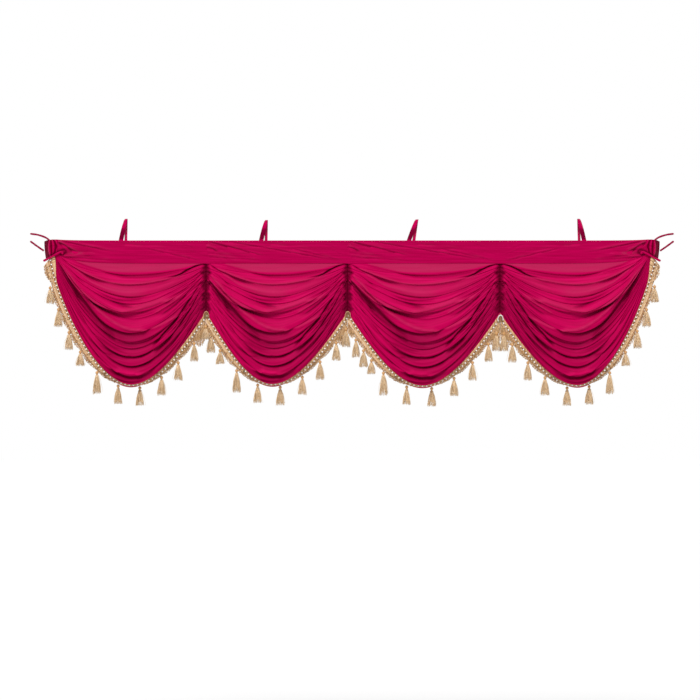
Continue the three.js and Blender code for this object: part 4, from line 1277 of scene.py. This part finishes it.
def makePleats(side):
    look = pleatLook
    across = np.linspace(0, 1, look["columns"] + 1)[None]
    down = np.linspace(0, 1, look["rows"] + 1)[:, None]
    inner = -halfLength + look["lap"]
    width = (inner - look["outerX"]) * mix(1, look["pinch"], down**2)
    top = -look["cornerDrop"] * (1 - across) ** 3 + headerLook["cornerLift"]
    edgeX = mix(inner - width, inner, across)
    edgeZ = mix(top, mix(look["footOuter"], look["footInner"], across), down)
    belly = np.sin(math.pi * down) ** 0.7
    bent = 0.5 + (across - 0.5) * (1 + look["barrel"] * (1 - belly))
    shape = sum(bump(bent - middle, half) for middle, half in look["ridges"])
    # painted shade on the turned-back side and in the gaps between the pleats, with the painted shadow
    # beside the rolled edge
    turned = look["sideDark"] * (1 - smooth((bent - 0.15) / 0.1))
    gaps = look["gapDark"] * (1 - smooth(shape / 0.6)) * smooth((1.02 - bent) / 0.05)
    darker = np.clip(np.maximum(np.maximum(turned, gaps), rollShadow(edgeX, edgeZ)), 0, 1)
    lapped = smooth((across - 0.84) / 0.12)
    back = mix(look["flap"] * (1 - smooth(across / 0.3)), look["lapAt"], lapped)
    crease = np.sin(across * 60 + down * 5) * np.sin(math.pi * down)
    y = back - (look["depth"] + crease) * shape * mix(0.55, 1, belly) * (1 - lapped)
    name = f"pleats_{side}_cloth"
    mesh = clothMesh(name, np.stack([edgeX, y, edgeZ], axis=-1), darker)
    route = curveThrough(rolledEdge["route"], rolledEdge["steps"])
    radius = rolledEdge["radius"] * (1 + 0.12 * np.sin(np.linspace(0, 17, len(route))))
    radius[[0, -1]] *= rolledEdge["tips"]
    pile = newPile()
    addTube(pile, route, radius, rolledEdge["sides"], 0)
    roll = pileMesh(f"rolled_edge_{side}", pile, look["rollDarker"])
    if side == "right":
        mirrorMesh(mesh)
        mirrorMesh(roll)
    piece = addPiece(name, mesh, f"pleats_{side}")
    thicken(piece, look["thickness"])
    rolled = addPiece(f"rolled_edge_{side}", roll)


for side in ("left", "right"):
    makePleats(side)
print("pleated ends made")

studio = {
    "floorAt": -2.6, "floorHalf": 40, "floorColour": (0.91, 0.91, 0.91), "ambient": 0.6, "keyStrength": 2.3,
    "keySoftness": math.radians(28), "keyTurn": (math.radians(42), 0, math.radians(-12)),
}


def makeStudio():
    # a pale floor, one soft key light, and a white world that is dimmer for light than for the eye
    floor = bmesh.new()
    bmesh.ops.create_grid(floor, x_segments=1, y_segments=1, size=studio["floorHalf"])
    bmesh.ops.translate(floor, verts=floor.verts, vec=(0, 0, studio["floorAt"]))
    mesh = bpy.data.meshes.new("studioFloor")
    floor.to_mesh(mesh)
    floor.free()
    mesh.materials.append(newMaterial("paleFloor", studio["floorColour"], {"Roughness": 0.9}))
    addObject("studioFloor", mesh)
    key = bpy.data.lights.new("softKey", "SUN")
    key.energy = studio["keyStrength"]
    key.angle = studio["keySoftness"]
    addObject("softKey", key).rotation_euler = studio["keyTurn"]
    world = bpy.data.worlds.new("paleStudio")
    bpy.context.scene.world = world
    world.use_nodes = True
    around = world.node_tree.nodes["Background"]
    around.inputs["Color"].default_value = (1, 1, 1, 1)
    around.inputs["Strength"].default_value = studio["ambient"]
    seen = addNode(world, "ShaderNodeBackground", Color=(1, 1, 1, 1))
    rays = addNode(world, "ShaderNodeLightPath")
    chosen = addNode(world, "ShaderNodeMixShader")
    link(world, rays.outputs["Is Camera Ray"], chosen.inputs["Fac"])
    link(world, around.outputs["Background"], chosen.inputs[1])
    link(world, seen.outputs["Background"], chosen.inputs[2])
    link(world, chosen.outputs["Shader"], world.node_tree.nodes["World Output"].inputs["Surface"])
    bpy.context.scene.view_settings.view_transform = "Standard"


makeStudio()
print("studio made")
